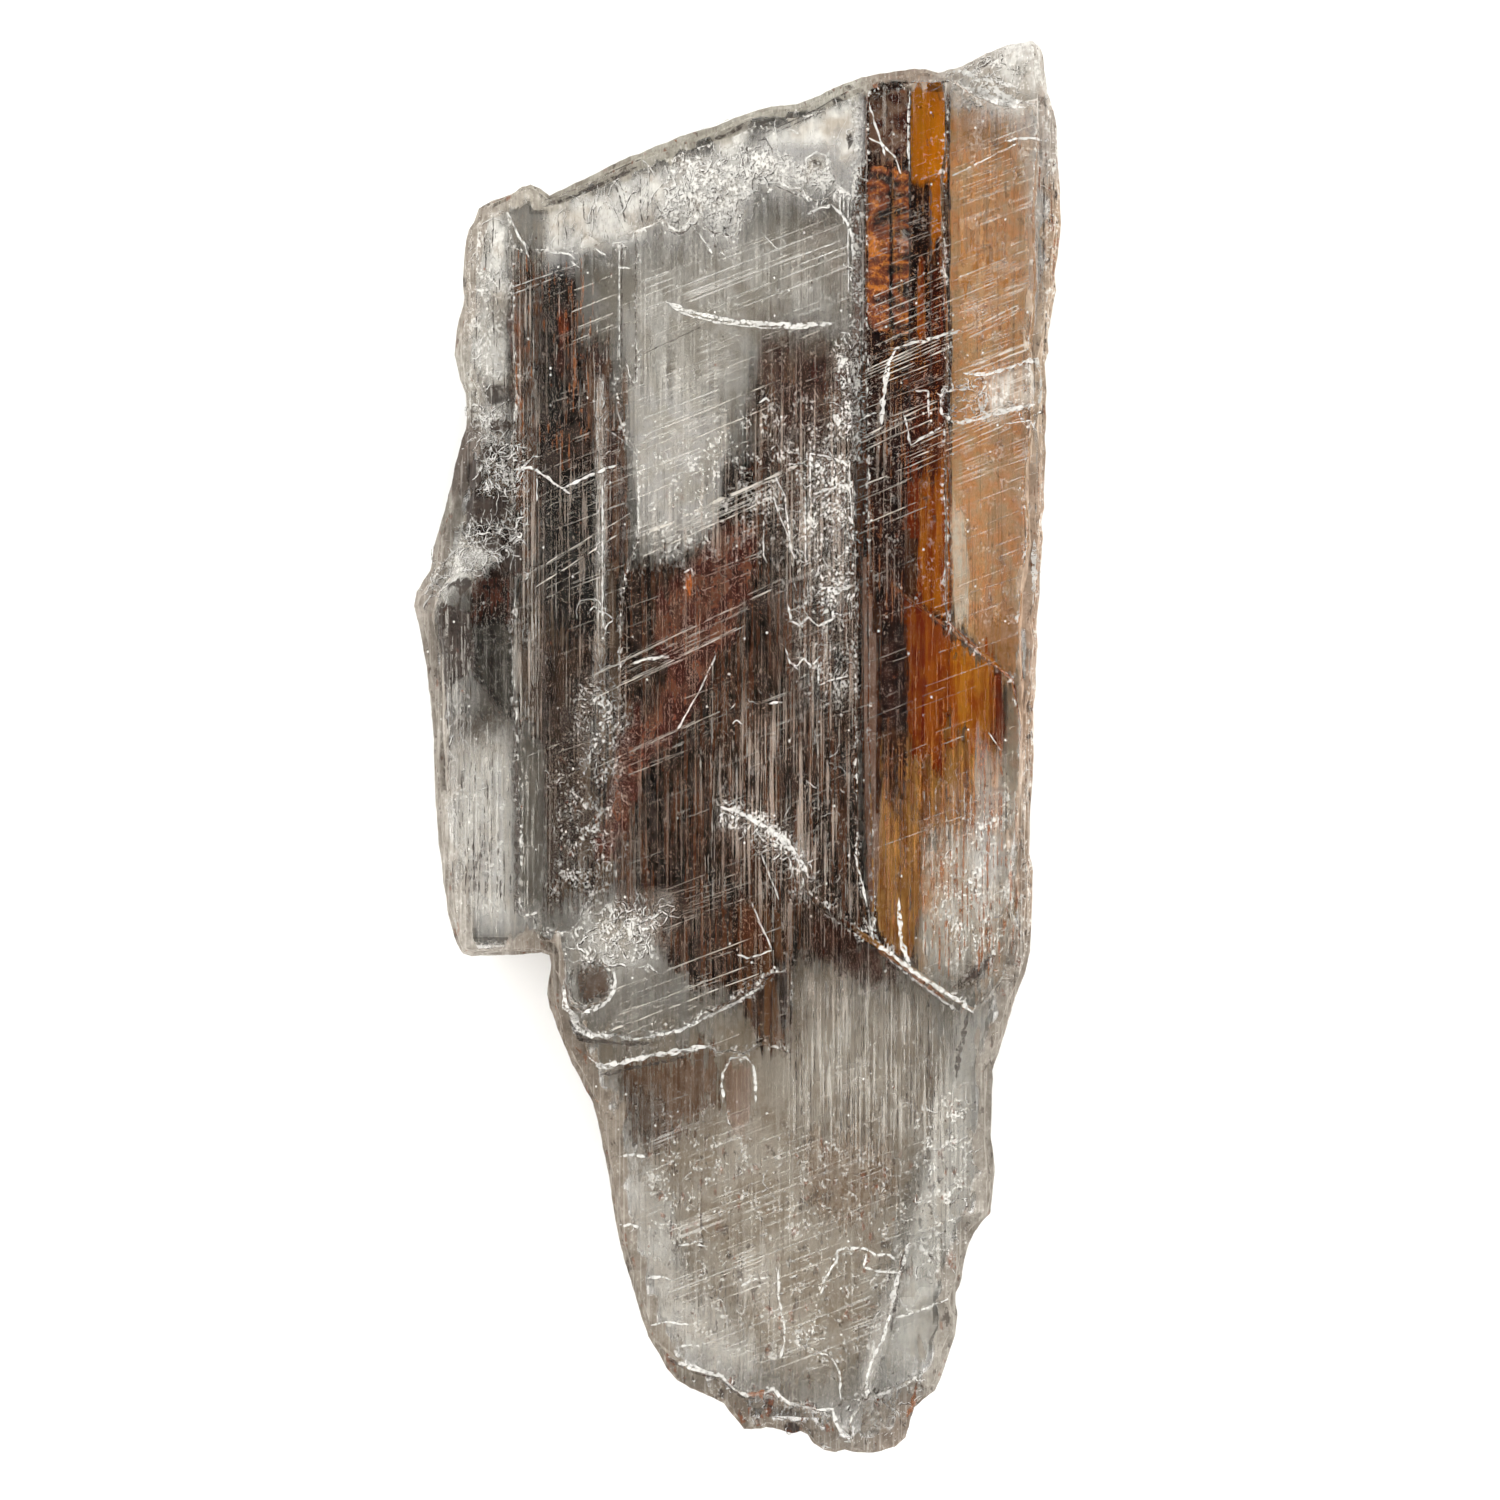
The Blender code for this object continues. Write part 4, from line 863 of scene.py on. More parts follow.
# Painted shadow: the crust again, moved a little down and to the right, darkens the skin beside each lump.
crust_shadow = crusted((0.14, -0.12, 0))[0] * crust.smooth(0, 0.6) * (1 - mist * 0.5) * 0.6
cloudy = start.grain((0.8, 0.4, 0.5), detail=3, roughness=0.65, place=(9, 1, 6))
brown = (patchy + 0.5 + grime * 0.3).smooth(0.4, 0.7)
mottle = lump.smooth(0.3, 0.7)
rust = cloudy.smooth(0.5, 0.6)
dirt = start.grain((1.5, 0.8, 1), detail=3, roughness=0.65, place=(5, 5, 5))
dirt = (dirt + grime * 0.12).smooth(0.62, 0.68)
tone = start.held("tone", "Color")
multiply = {"data_type": "RGBA", "blend_type": "MULTIPLY"}
# Painted shade on the frost between its lumps.
frost_shade_tone = start.add("Mix", multiply, {0: 1.0, 6: tone, 7: FROST_SHADE}, 2)
fog = (mist * cloudy.smooth(0.3, 0.62, 0.35, 1.0)).most(mist.smooth(0.88, 1.0, 0.0, 0.88))
coats = (fog, brown.mix(seen_outside(MIST), seen_outside(MIST_BROWN)))
rime = (frost + (cloudy - 0.5) * 0.6).smooth(0.25, 0.6) * 0.96
coats = laid_over(coats, (rime, mottle.mix(frost_shade_tone, tone)))
# Painted shade in the holes and hollows.
coats = laid_over(coats, ((hollow_shade + (cloudy - 0.5) * 0.9).smooth(0.4, 0.6) * 0.92,
                          mottle.mix(seen_outside(HOLLOW_SHADE_DARK), seen_outside(HOLLOW_SHADE_BROWN))))
# The dark coat holds dark fibres, dark grit and the painted shadow beside the crust, warmer where iron and
# clay lie behind.
shade = dark_threads.most(crust_shadow).most(fine.smooth(0.46, 0.24, 0.0, 0.34))
coats = laid_over(coats, (shade, warm.mix(seen_outside(DARK_MARKS_AND_SHADOW), seen_outside(WARM_DARK_AND_SHADOW))))
dirt_specks, bright_specks = start.specks((1.6, 1.4, 1.6), 0.08, 0.1)
stain = (dirt * grime.smooth(0, 0.5) * 0.85).most(dirt_specks * 0.7)
coats = laid_over(coats, (stain, rust.mix(seen_outside(GRIME), seen_outside(RUST))))
pale = light_threads.most(fine.smooth(0.56, 0.78, 0.0, 0.3)) * (1 - hollow_shade * 0.8)
coats = laid_over(coats, (pale, warm.mix(seen_outside(THREAD_LIGHT), seen_outside(WARM_LIGHT))))
shine = light_crust.most(scratches).most(bright_specks * 0.9)
cover, paint = laid_over(coats, (shine, seen_outside(CRUST_LIGHT)))
plug(paint, shader, "Base Color")
plug(cover, shader, "Alpha")
shader.inputs["Roughness"].default_value = 0.7
shader.inputs["Specular IOR Level"].default_value = 0.2
new_piece("skin_marks", skin, film)


# ---- Cracks, ridges and long scratches ------------------------------------------------------------------
# Cleavage cracks and chipped ledges catch the light as thin white lines of broken gypsum with painted
# highlight, or swallow it as dark ones, which are dark cracks and painted shadow under ledges, crust lobes
# and ridges.
# Each is a narrow ragged ribbon in the skin, with its own width in millimetres.
RIBBON_STEP = 0.22
RIBBON_LIFT = 0.05
LEDGE = 1.2  # a ribbon ends where the skin steps up or down by more than this
CURL_STEP = 0.2
CURLS_IN_HOLLOWS = 0.12  # the share of the ridges in a hollow that are kept
SCRATCHED, LONE_SCRATCHES = [(-20, 50), (10, 56), (27, 60), (24, -30), (10, -58), (-12, -30), (-20, 0)], 260
WHITE_LINES = (
    # the knob, the left margin and the etched band
    (0.22, [(-19.3, 45), (-18.6, 43.3), (-17.9, 42.2), (-17.5, 41)]),
    (0.07, [(-19, 38.5), (-13.3, 40.5)]), (0.06, [(-19, 37.9), (-14.6, 39.6)]),
    (0.2, [(-15.9, 41.5), (-14.2, 41.35), (-13.5, 40.9)]),
    (0.16, [(-10.7, 42.2), (-8.8, 42.4), (-8.7, 43.1), (-6.9, 43.8)]),
    (0.22, [(-6.7, 45.4), (-6.1, 44.4), (-5.6, 43.5), (-4.9, 43.25), (-4.3, 43.5), (-4, 44.2)]),
    (0.2, [(-3.2, 45.2), (-2.6, 43.9), (-2, 43.3), (-1.4, 43.5)]),
    (0.18, [(-1.3, 43.7), (-0.7, 43), (-0.3, 42.8), (0, 43.6), (0.4, 45)]),
    (0.2, [(0.9, 46.2), (1.8, 47.2), (2.6, 47.4), (3.5, 47.3), (4.4, 46.8), (5.4, 46.9), (5.9, 45.8),
        (6.2, 45.4)]),
    (0.2, [(6.5, 48.4), (7.7, 48.1), (8.4, 47), (9.4, 46.2), (10.5, 46.2)]),
    (0.12, [(7.1, 48.2), (7.2, 46), (7, 45.4)]),
    (0.18, [(5.7, 48.2), (5.8, 49.4), (6.6, 49.9), (7.4, 49.6), (7.7, 48.8)]),
    (0.14, [(5.9, 46.8), (6.5, 48.3)]),
    (0.28, [(5.6, 44.4), (7, 45.2), (7.9, 45.3), (8.7, 44.6), (9.3, 43.8), (9.6, 42.6), (9.7, 40.8)]),
    (0.08, [(4.7, 40.9), (8.7, 42.4)]), (0.1, [(5.2, 40.4), (9.4, 42)]), (0.08, [(1.9, 43.2), (4, 41)]),
    (0.14, [(8.6, 46), (8.6, 44.4)]), (0.12, [(8.9, 46.4), (8.9, 43.8)]), (0.1, [(9.25, 46), (9.3, 38)]),
    (0.16, [(-8, 49.4), (-7.4, 48.8), (-6.8, 47.6)]), (0.1, [(-5.6, 47.6), (-4.8, 48.6), (-4.2, 47.4)]),
    (0.3, [(-3.6, 49.3), (-2.8, 48.7)]), (0.14, [(4.4, 51.8), (5.2, 51.4)]),
    (0.2, [(-3.2, 43), (-2.1, 41.3)]), (0.2, [(-1.6, 41.6), (-1.1, 41.2)]), (0.2, [(-10, 40.2), (-9, 40.1)]),
    (0.15, [(-12, 41.8), (-11, 41.2)]), (0.18, [(-14, 40.7), (-13.1, 40.1)]),
    # the wisp and the middle
    (0.42, [(-6.1, 37.3), (-4.2, 36.5), (-2, 36), (0, 35.6), (3, 35.4), (5, 35.3), (8.3, 35.5)]),
    (0.2, [(-5.6, 36.9), (-4, 36.1), (-1.4, 35.5), (2, 35.1), (6, 35.1)]), (0.6, [(7.5, 35.4), (8.3, 35.5)]),
    (0.12, [(-9.9, 42.3), (-9.9, 32.4)]),
    (0.1, [(-9.3, 32.2), (-9, 31), (-8.7, 30.5), (-8.4, 30.6), (-8.35, 32)]),
    (0.25, [(-18.8, 23.2), (-17.4, 23.5), (-16.4, 22.9), (-15.2, 22), (-14, 21.2)]),
    (0.28, [(-14.6, 21.7), (-12.5, 22.7), (-10, 23.7)]),
    (0.12, [(-17.2, 22.7), (-16.8, 22.7), (-16.8, 20.6)]),
    (0.16, [(-11.3, 22), (-11.3, 10)]),
    (0.1, [(-11, 26.7), (-9.5, 25.6), (-8.5, 24.6), (-8.3, 22), (-8.3, 18)]),
    (0.3, [(-8.8, 7), (-7.4, 7.4), (-5.7, 7.6)]), (0.14, [(-5, 1.5), (-3, 5), (-1.8, 7.7)]),
    (0.3, [(-4.5, 14.6), (-3.9, 14.9), (-3.6, 14.3)]), (0.25, [(1.8, 28.8), (2.4, 29.2), (2.8, 28.9)]),
    # the netted middle
    (0.16, [(6.1, 20.8), (6.1, 24.6), (8, 24.2), (9.3, 23.8)]),
    (0.22, [(6.2, 21.1), (7.6, 21.6), (9.3, 22)]),
    (0.12, [(9.4, 24), (9.4, 22), (9.6, 19)]), (0.14, [(5.7, 21), (5.7, 15.5)]),
    (0.14, [(3.2, 22.6), (4, 21), (4.4, 17), (4.8, 15.7)]), (0.12, [(3, 21), (3.5, 19.5), (4.3, 17.5)]),
    (0.12, [(2.2, 19), (2.2, 16), (2.5, 15.4)]), (0.6, [(6.8, 13.4), (8.2, 13), (9.8, 13.6)]),
    (0.2, [(4.2, 12), (4.5, 10.6), (5.2, 10.2), (6, 10.8), (6.8, 10.1), (8, 10.7), (8, 11.6)]),
    (0.2, [(4, 8.3), (4.4, 7), (5, 6.8), (5.6, 7.4), (6.2, 6.8), (7, 7.6)]),
    (0.18, [(6.8, 5.2), (9.3, 6)]), (0.16, [(6.8, 7), (6.8, 5.3)]), (0.5, [(2.6, 3.6), (3.8, 3.8)]),
    (0.2, [(9.8, -9), (10.6, -12), (11, -14), (11.4, -16.3)]), (0.14, [(2, -9), (3.5, -12.8)]),
    (0.5, [(-1.5, -5), (0.4, -5.6), (2, -6.5), (3.4, -7.4), (4.5, -8.5), (5.4, -9.8), (6, -11)]),
    # the amber side
    (0.22, [(11, 54), (11.6, 52), (12.4, 49.5)]), (0.16, [(11, 51), (12.2, 50.4), (13.2, 49.4), (13.7, 48)]),
    (0.14, [(14.3, 54), (14.3, 49)]), (0.1, [(14.45, 55), (14.4, 48.2)]),
    (1.1, [(18.9, 55.4), (20.8, 55.1), (22.4, 54.7), (24, 54.1)]),
    (0.6, [(18, 57.2), (19, 56.8), (20.2, 56.1)]),
    (0.5, [(20.6, 54.5), (22.4, 54), (24.2, 53.6)]), (0.4, [(19.6, 56.1), (21.6, 56), (23.6, 55.4)]),
    (0.4, [(24, 54.4), (23, 54), (21.5, 54.2), (20, 54.9)]),
    (0.3, [(18.5, 57.3), (19.2, 56.9), (19.8, 56.3)]),
    (0.25, [(22.4, 50.9), (24.4, 51.1), (27, 51.1)]), (0.12, [(18, 47.9), (20.6, 49.2), (23.4, 50.6)]),
    (0.3, [(13, 33.3), (15, 33.9), (17, 34.4), (18.8, 35)]), (0.5, [(18.4, 34.8), (19, 34.9)]),
    (0.3, [(18.9, 31.4), (20.9, 31.2), (23, 31.9), (25.2, 32.6)]),
    (0.6, [(23.8, 32.3), (25.2, 32.6), (25.5, 31.4)]), (0.25, [(25.5, 31.4), (25.6, 30), (25.3, 28.6)]),
    (0.42, [(25.1, 28.8), (22.6, 28.2), (21, 27.8), (19.6, 27.3), (18, 27.3), (17.1, 27.9), (17, 29.4),
        (17.6, 29.8)]),
    (0.2, [(21, 31), (20.7, 30), (20.2, 29.2), (20.5, 28.2), (21.2, 27.8)]),
    (0.14, [(22.4, 27.1), (24.5, 27.4), (25.2, 26.6)]),
    (0.25, [(17.2, 29.8), (20.3, 30.3)]),
    (0.45, [(13.3, 33.2), (12.6, 32.3), (12.3, 29.5), (12, 26.8)]),
    (0.3, [(13.9, 27.9), (14.3, 26.4), (14.5, 25.2)]),
    (0.25, [(14.5, 25.3), (17.1, 26.8)]), (0.3, [(20.8, 30.8), (20.9, 29), (20.3, 27.9)]),
    (0.2, [(14.6, 29.8), (16, 29.8), (16, 27.6)]),
    (0.55, [(25, 17.5), (25, 15), (24.9, 12)]), (0.12, [(21, 1.2), (21.6, 0.4), (22.2, -0.5)]),
    (0.45, [(13.5, -12.6), (13.6, -14.6), (13.7, -16.2), (14.5, -18.5)]),
    (0.4, [(11.3, -16.4), (13, -17.4), (15, -19), (17, -20.3), (19, -21.6), (19.9, -22.4)]),
    (0.25, [(12.4, -17.5), (14.4, -19.2), (16.4, -20.7), (18.6, -22.3)]),
    # the step above the tongue
    (0.5, [(-14.6, -19.5), (-14.4, -21.8), (-13.6, -22.6), (-13.3, -23.8), (-12.2, -24.2), (-10, -24.2)]),
    (0.32, [(-10, -24.2), (-9, -24.6), (-7, -24.2), (-5, -23.8), (-3, -22.9), (0, -21.4), (1.8, -20.2)]),
    (0.5, [(-12.6, -26), (-11.5, -26.9), (-10, -26.6), (-8, -26.1), (-6, -25.7), (-4, -25.4),
        (-2.3, -25.1)]),
    (0.3, [(-10.4, -18.5), (-10.2, -20), (-10.8, -21.3), (-12, -22), (-13.2, -22.3)]),
    (0.5, [(-13.3, -20), (-13, -20)]),
    (0.2, [(0, -17.4), (0.8, -17.7), (2, -17.4), (2.9, -17)]), (0.18, [(1.2, -13), (2, -15), (2.9, -16.9)]),
    (0.28, [(-1.2, -30), (-1.3, -27.5), (-0.5, -26.2), (0.7, -26.1), (1.4, -27), (1.6, -30)]),
    # the tongue
    (0.35, [(-10, -34.5), (-8.6, -34.3), (-7.5, -34.6)]), (0.3, [(-10, -40.4), (-9, -40.2), (-8, -40.5)]),
    (0.35, [(-8, -44.8), (-6.6, -44.6), (-5.5, -44.9)]), (0.2, [(-7.5, -48.7), (-5.8, -48.4), (-4, -48.7)]),
    (0.2, [(0.3, -45.4), (1.2, -44.8), (2.8, -44.6)]), (0.4, [(-5, -42), (-3.6, -41.8), (-2.5, -42.1)]),
    (0.2, [(-5.2, -50.6), (-4, -50.3), (-3, -50.5)]), (0.35, [(-2.1, -40.9), (-1.8, -40.9)]),
    (0.35, [(14.5, -41.6), (14, -43.4), (13.3, -45.3), (12.9, -47.5)]),
    (0.3, [(12.9, -47.5), (12.4, -49.5), (11.4, -51.5), (10.9, -53.2), (10.9, -55)]),
    (0.25, [(7, -46.3), (7.4, -44.7), (8.3, -43.4), (8.4, -42.4), (9.2, -42.2), (10.6, -42.2), (11.5, -42.7),
            (12.8, -42.8), (13.4, -43.3)]),
    (0.2, [(10.8, -42.6), (10.7, -43.8), (12, -44.2), (13.9, -44.2)]),
    (0.2, [(3.5, -43.8), (3.4, -46), (3.9, -48.5), (4, -50), (3.6, -51.5)]),
    (0.12, [(4.2, -50), (7.5, -49.8)]),
    (0.25, [(8, -51.5), (8.6, -52.6), (8.7, -55)]), (0.2, [(13.3, -48.2), (15.5, -47.5), (18.2, -46.4)]),
    (0.3, [(10.9, -55.2), (13.5, -54.2), (15, -53.4)]),
    (0.4, [(-6, -51.5), (-3.4, -52.4), (-1.2, -53), (0, -54.4), (1.5, -54.8), (3, -54), (3.8, -55),
        (5.5, -55.8)]),
    (0.3, [(5.5, -55.8), (8, -55.8), (8.3, -57), (9.2, -58.4)]), (0.5, [(6.5, -59.2), (8, -59.3)]),
    (0.5, [(9, -58.8), (10, -58.8)]),
)
# Dark cracks, and painted shadow under ledges, crust lobes and the bevel: the width and the route of each.
DARK_LINES_AND_SHADOWS = (
    (0.3, [(-16.3, 45.3), (-12.6, 46.9), (-10.4, 47.9), (-8.4, 48.8)]),
    (0.12, [(-16.2, 46), (-11, 48.3), (-8, 49.5)]),
    (0.12, [(-12.9, 45.8), (-12.85, 44.4), (-12.6, 43.9), (-12.3, 44), (-12.2, 45.4)]),
    (0.25, [(-12.8, 43.9), (-12.3, 43.9)]),
    (0.16, [(-10.3, 47.2), (-9.9, 46.3), (-9.6, 45.2), (-9.4, 44)]),
    (0.12, [(-9.9, 47.4), (-9.5, 46.4), (-9.4, 45.6)]),
    (0.13, [(-8.15, 48), (-8.15, 44.8), (-7.9, 43.9), (-7.6, 43.9), (-7.5, 44.6), (-7.5, 47.2)]),
    (0.2, [(-6.9, 45.6), (-6.5, 44.9), (-6.2, 44.2)]),
    (0.25, [(-5.6, 43.1), (-4.9, 42.95), (-4.2, 43.2), (-3.9, 43.7)]),
    (0.2, [(-3.4, 45.4), (-3.1, 44.7)]), (0.25, [(-2.5, 43.4), (-1.9, 42.95), (-1.4, 43.2)]),
    (0.22, [(-1.3, 43.3), (-0.8, 42.8), (-0.4, 42.5)]), (0.12, [(0.2, 44.8), (0.2, 43.2), (0, 42.6)]),
    (0.1, [(2.1, 51.4), (7.4, 53.8)]), (0.09, [(2.1, 51.05), (7.3, 53.35)]),
    (0.1, [(5.3, 52.9), (9.3, 55.2)]),
    (0.22, [(7.4, 53.8), (7.35, 52.9)]), (0.3, [(9, 55.3), (9, 54.5)]),
    (0.35, [(9.2, 51.4), (9.5, 50.8), (9.3, 50.1)]),
    (0.3, [(6.2, 49.2), (6.6, 49.3)]), (0.1, [(0.4, 50.6), (0.5, 49), (0.7, 47.6)]),
    (0.14, [(0.8, 50.4), (0.9, 48.8)]),
    (0.1, [(1.7, 50.8), (2.4, 51), (2.9, 50.2), (3, 49.6)]),
    (0.09, [(-4.6, 46.8), (-4, 45.8), (-4.2, 44.8)]),
    (0.1, [(-15, 44.6), (-15, 42)]), (0.1, [(-14.4, 43.6), (-14.3, 42.6)]),
    (0.1, [(-11.1, 43.4), (-10.8, 42.6)]),
    (0.35, [(-2.1, 51.1), (-0.6, 51.7), (0.9, 52.6)]), (0.2, [(-3, 50.9), (-2.6, 50.2)]),
    (0.12, [(3.2, 47), (4.6, 46.4), (5.6, 46)]), (0.1, [(1.2, 48.4), (1.3, 46.8)]),
    (0.08, [(3.4, 45.6), (3.4, 43.6)]),
    (0.16, [(-8.5, 42.5), (-8.5, 30.5)]),
    (0.14, [(-9.7, 42.3), (-9.7, 32.4)]), (0.12, [(-8.3, 32.7), (-3, 35.2)]),
    (0.2, [(-16.1, 28), (-16.2, -14)]), (0.12, [(-18.9, 42), (-18.9, 28)]),
    (0.12, [(-16.4, 42), (-16.4, 28)]),
    (0.45, [(-18.5, 2), (-18.6, -2), (-18.4, -6), (-18.5, -10), (-18.5, -14)]),
    (0.5, [(-19, -1.5), (-18.9, -2.4)]),
    (0.6, [(-18.7, -12.7), (-18.7, -14.1)]), (0.2, [(10.4, 44), (10.4, 24)]),
    (0.2, [(10.4, 17), (10.4, 10.5)]),
    (0.16, [(14.5, 55), (14.4, 28)]), (0.2, [(16.2, 47), (16.2, 30)]), (0.14, [(17.8, 55), (17.8, 18)]),
    (0.14, [(25.8, 48), (25.8, 41)]),
    (0.1, [(12.8, 13.3), (15.3, 11.5), (17.3, 10), (19, 8.7), (20.8, 7.2), (22.6, 5.8)]),
    (0.5, [(19.4, -22.3), (19, -24.5), (18.6, -26), (18.4, -28)]),
    (0.3, [(11.4, -17), (13, -18), (15, -19.6)]),
    (0.4, [(-14.2, -23), (-13.2, -24.6), (-10, -24.9), (-7, -24.9)]),
    (0.35, [(-11.5, -27.6), (-8, -26.9), (-4, -26)]),
    (0.4, [(3.7, -18), (4.1, -20), (4, -22.5)]),
    (0.35, [(14.1, -42.4), (13.6, -44.6), (13.3, -47.3), (12.9, -49.4)]),
    (0.3, [(-5.8, -51.9), (-1.2, -53.4), (0, -54.8), (1.6, -55.2)]), (0.7, [(2.2, -55.8), (3, -55.8)]),
    (0.4, [(-22.2, 9), (-22.2, 6)]), (0.16, [(-22.2, 6), (-21, 4.6), (-20.2, 3.3), (-19.2, 2.4)]),
)
# Iron lines and spots: the width and the route of each.
RUST_LINES = (
    (0.45, [(11.6, -16.9), (13, -17.8), (15, -19.3), (17.6, -21.3)]), (0.5, [(21.4, -18.7), (21.9, -18.7)]),
    (0.13, [(12.7, 13.5), (13.2, 13.4), (15.3, 11.7), (17.3, 10.2), (19, 8.9), (20.8, 7.4), (23.2, 5.5)]),
    (0.4, [(-4.3, 14.4), (-3.9, 13)]), (0.3, [(-5.4, 51.5), (-5.1, 51.3)]),
    (0.7, [(11.3, 56.4), (11.9, 55)]),
    (0.5, [(-24.2, -17), (-22.6, -17.1)]), (0.7, [(0.4, -54.6), (1.8, -54.4), (3.2, -54.8)]),
    (0.5, [(15.2, -53.6), (14.9, -55.4), (14.2, -57)]), (0.35, [(-13.6, -25.2), (-13.3, -25.7)]),
    (0.35, [(-12, -29.5), (-11.7, -30)]), (0.4, [(-10.4, -38), (-10.2, -38.7)]),
    (0.4, [(18.8, -22.4), (19.2, -21.6)]),
    (0.25, [(-20.8, 46.2), (-19.6, 46.6)]), (0.3, [(-24.2, 41.4), (-24.1, 40)]),
    (0.25, [(-24.3, 36), (-24.2, 34.8)]),
    (0.2, [(17.6, 27.2), (17.9, 21), (18, 12)]), (0.2, [(21.6, 6), (21.5, 3.4)]),
    (0.25, [(22, 0.4), (22.2, -2.4)]),
)
# Crooked little ridges, each with a painted shadow: how many, their length, width, how they turn, whether
# they stand upright, and where.
CURLS = (
    (210, 1.0, 0.11, 0.7, False, [
        (-6.2, 48.2), (-2, 49.4), (1, 50.2), (3, 50), (5, 49), (7.6, 50), (8, 48), (9.4, 46.6), (10.4, 46),
        (6, 46.5),
        (2.6, 47.1), (1, 46.2), (0, 43.2), (-0.5, 42.4), (-1.6, 42.8), (-3, 44), (-4.6, 43), (-5.6, 43.1),
        (-6.6, 44.2)]),
    (60, 1.6, 0.07, 0.2, True, [(-15.8, 45), (-8, 47.6), (-6, 48), (-6.6, 44), (-8.6, 42.8), (-15.8, 41.6)]),
    (30, 2.2, 0.06, 0.1, True, [(-15.6, 45), (-8, 47.6), (0, 51.4), (9.6, 54), (9.6, 49), (2, 48),
        (-6, 44)]),
    (50, 1.3, 0.09, 0.5, False, [(-22.4, 28.8), (-19.4, 28.8), (-19, 25.3), (-22.4, 25.2)]),
    (55, 1.4, 0.1, 0.45, False, [(-21.7, 24.3), (-18.6, 24.4), (-17.6, 23.6), (-18.6, 21.7), (-21.4, 21.2)]),
    (90, 1.5, 0.09, 0.45, False, [(-22.8, 19.5), (-18.6, 19.5), (-18.9, 16), (-21.6, 15.8), (-23.6, 15.4)]),
    (70, 1.2, 0.1, 0.5, False, [(-26.2, 14.6), (-23.4, 17), (-20.4, 16.6), (-22.4, 14), (-25.4, 12.4)]),
    (40, 1.0, 0.08, 0.8, False, [(-19.4, 27), (-17.6, 25), (-17.8, 14), (-19, 15)]),
    (110, 0.7, 0.09, 0.7, False, [(9.6, 54), (10.5, 54), (10.5, 24), (9.5, 24)]),
    (50, 0.8, 0.1, 0.7, False, [(8.4, 34.4), (10.3, 34.8), (10.3, 25), (8.2, 26)]),
    (60, 0.8, 0.07, 0.4, True, [(-11.9, 30), (-11, 30), (-11, 6), (-11.9, 6)]),
    (110, 0.8, 0.08, 0.5, False, [(5.4, 25), (9.9, 25), (9.9, 11), (5.2, 11)]),
    (60, 0.8, 0.06, 0.5, False, [(3, 26), (10.3, 24), (10.6, -14), (4, -16), (-2, 0), (2, 12)]),
    (80, 0.5, 0.09, 0.9, False, [(-13.8, 3.6), (-12.6, 5.6), (-10.6, 6.4), (-9.2, 2), (-10.4, -4),
        (-12.8, -2)]),
    (70, 0.5, 0.07, 0.8, False, [(-15.8, 0), (-12.6, -1.6), (-9.6, -6), (-9.6, -13), (-16, -13)]),
    (70, 1.5, 0.1, 0.45, False, [(-13.6, -13.2), (-6, -13), (-7.4, -18.6), (-13.4, -18)]),
    (60, 0.8, 0.1, 0.7, False, [(-1.6, -4.2), (2, -5.4), (5, -7.6), (6.8, -11), (5.4, -11.8), (3.4, -9.4),
                                (-1.6, -6.4)]),
    (50, 0.9, 0.1, 0.6, False, [(17, 29.8), (20.6, 31.4), (20.4, 28), (25.4, 29), (25.2, 27.4), (17, 27)]),
    (50, 0.8, 0.08, 0.5, True, [(25.4, 56), (27.4, 56), (27, 26), (26, -16), (23.4, -16), (24, 6),
        (25.4, 22)]),
    (50, 0.8, 0.09, 0.6, False, [(-23.4, 44), (-20, 45), (-19.4, 28), (-23, 28)]),
    (50, 0.8, 0.08, 0.4, True, [(-26, 12), (-22.6, 12), (-22.4, 0), (-19.4, -14), (-24, -15.6)]),
    (40, 0.9, 0.07, 0.6, False, [(-9, -30), (12, -32), (17, -36), (15, -50), (8, -54), (-4, -52),
        (-9, -40)]),
    (50, 0.8, 0.09, 0.6, False, [(13.6, -30), (20, -28), (20, -38), (17.6, -46), (14.6, -44), (15.4, -36)]),
    (40, 0.6, 0.09, 0.8, False, [(-7, -51), (-1, -53), (4, -54.6), (9, -55), (9.4, -59.6), (2, -58.6),
        (-4, -55)]),
    (30, 0.7, 0.1, 0.7, False, [(9.6, -53), (16, -52), (15.6, -57), (12, -60), (9.6, -59)]),
    (60, 1.0, 0.12, 0.6, False, [(17.6, 57.6), (22, 58), (24.6, 54.6), (22, 53.4), (18, 54.6)]),
    (40, 0.8, 0.09, 0.6, True, [(17, -6), (23.6, -6), (24, -20), (16.6, -18)]),
)
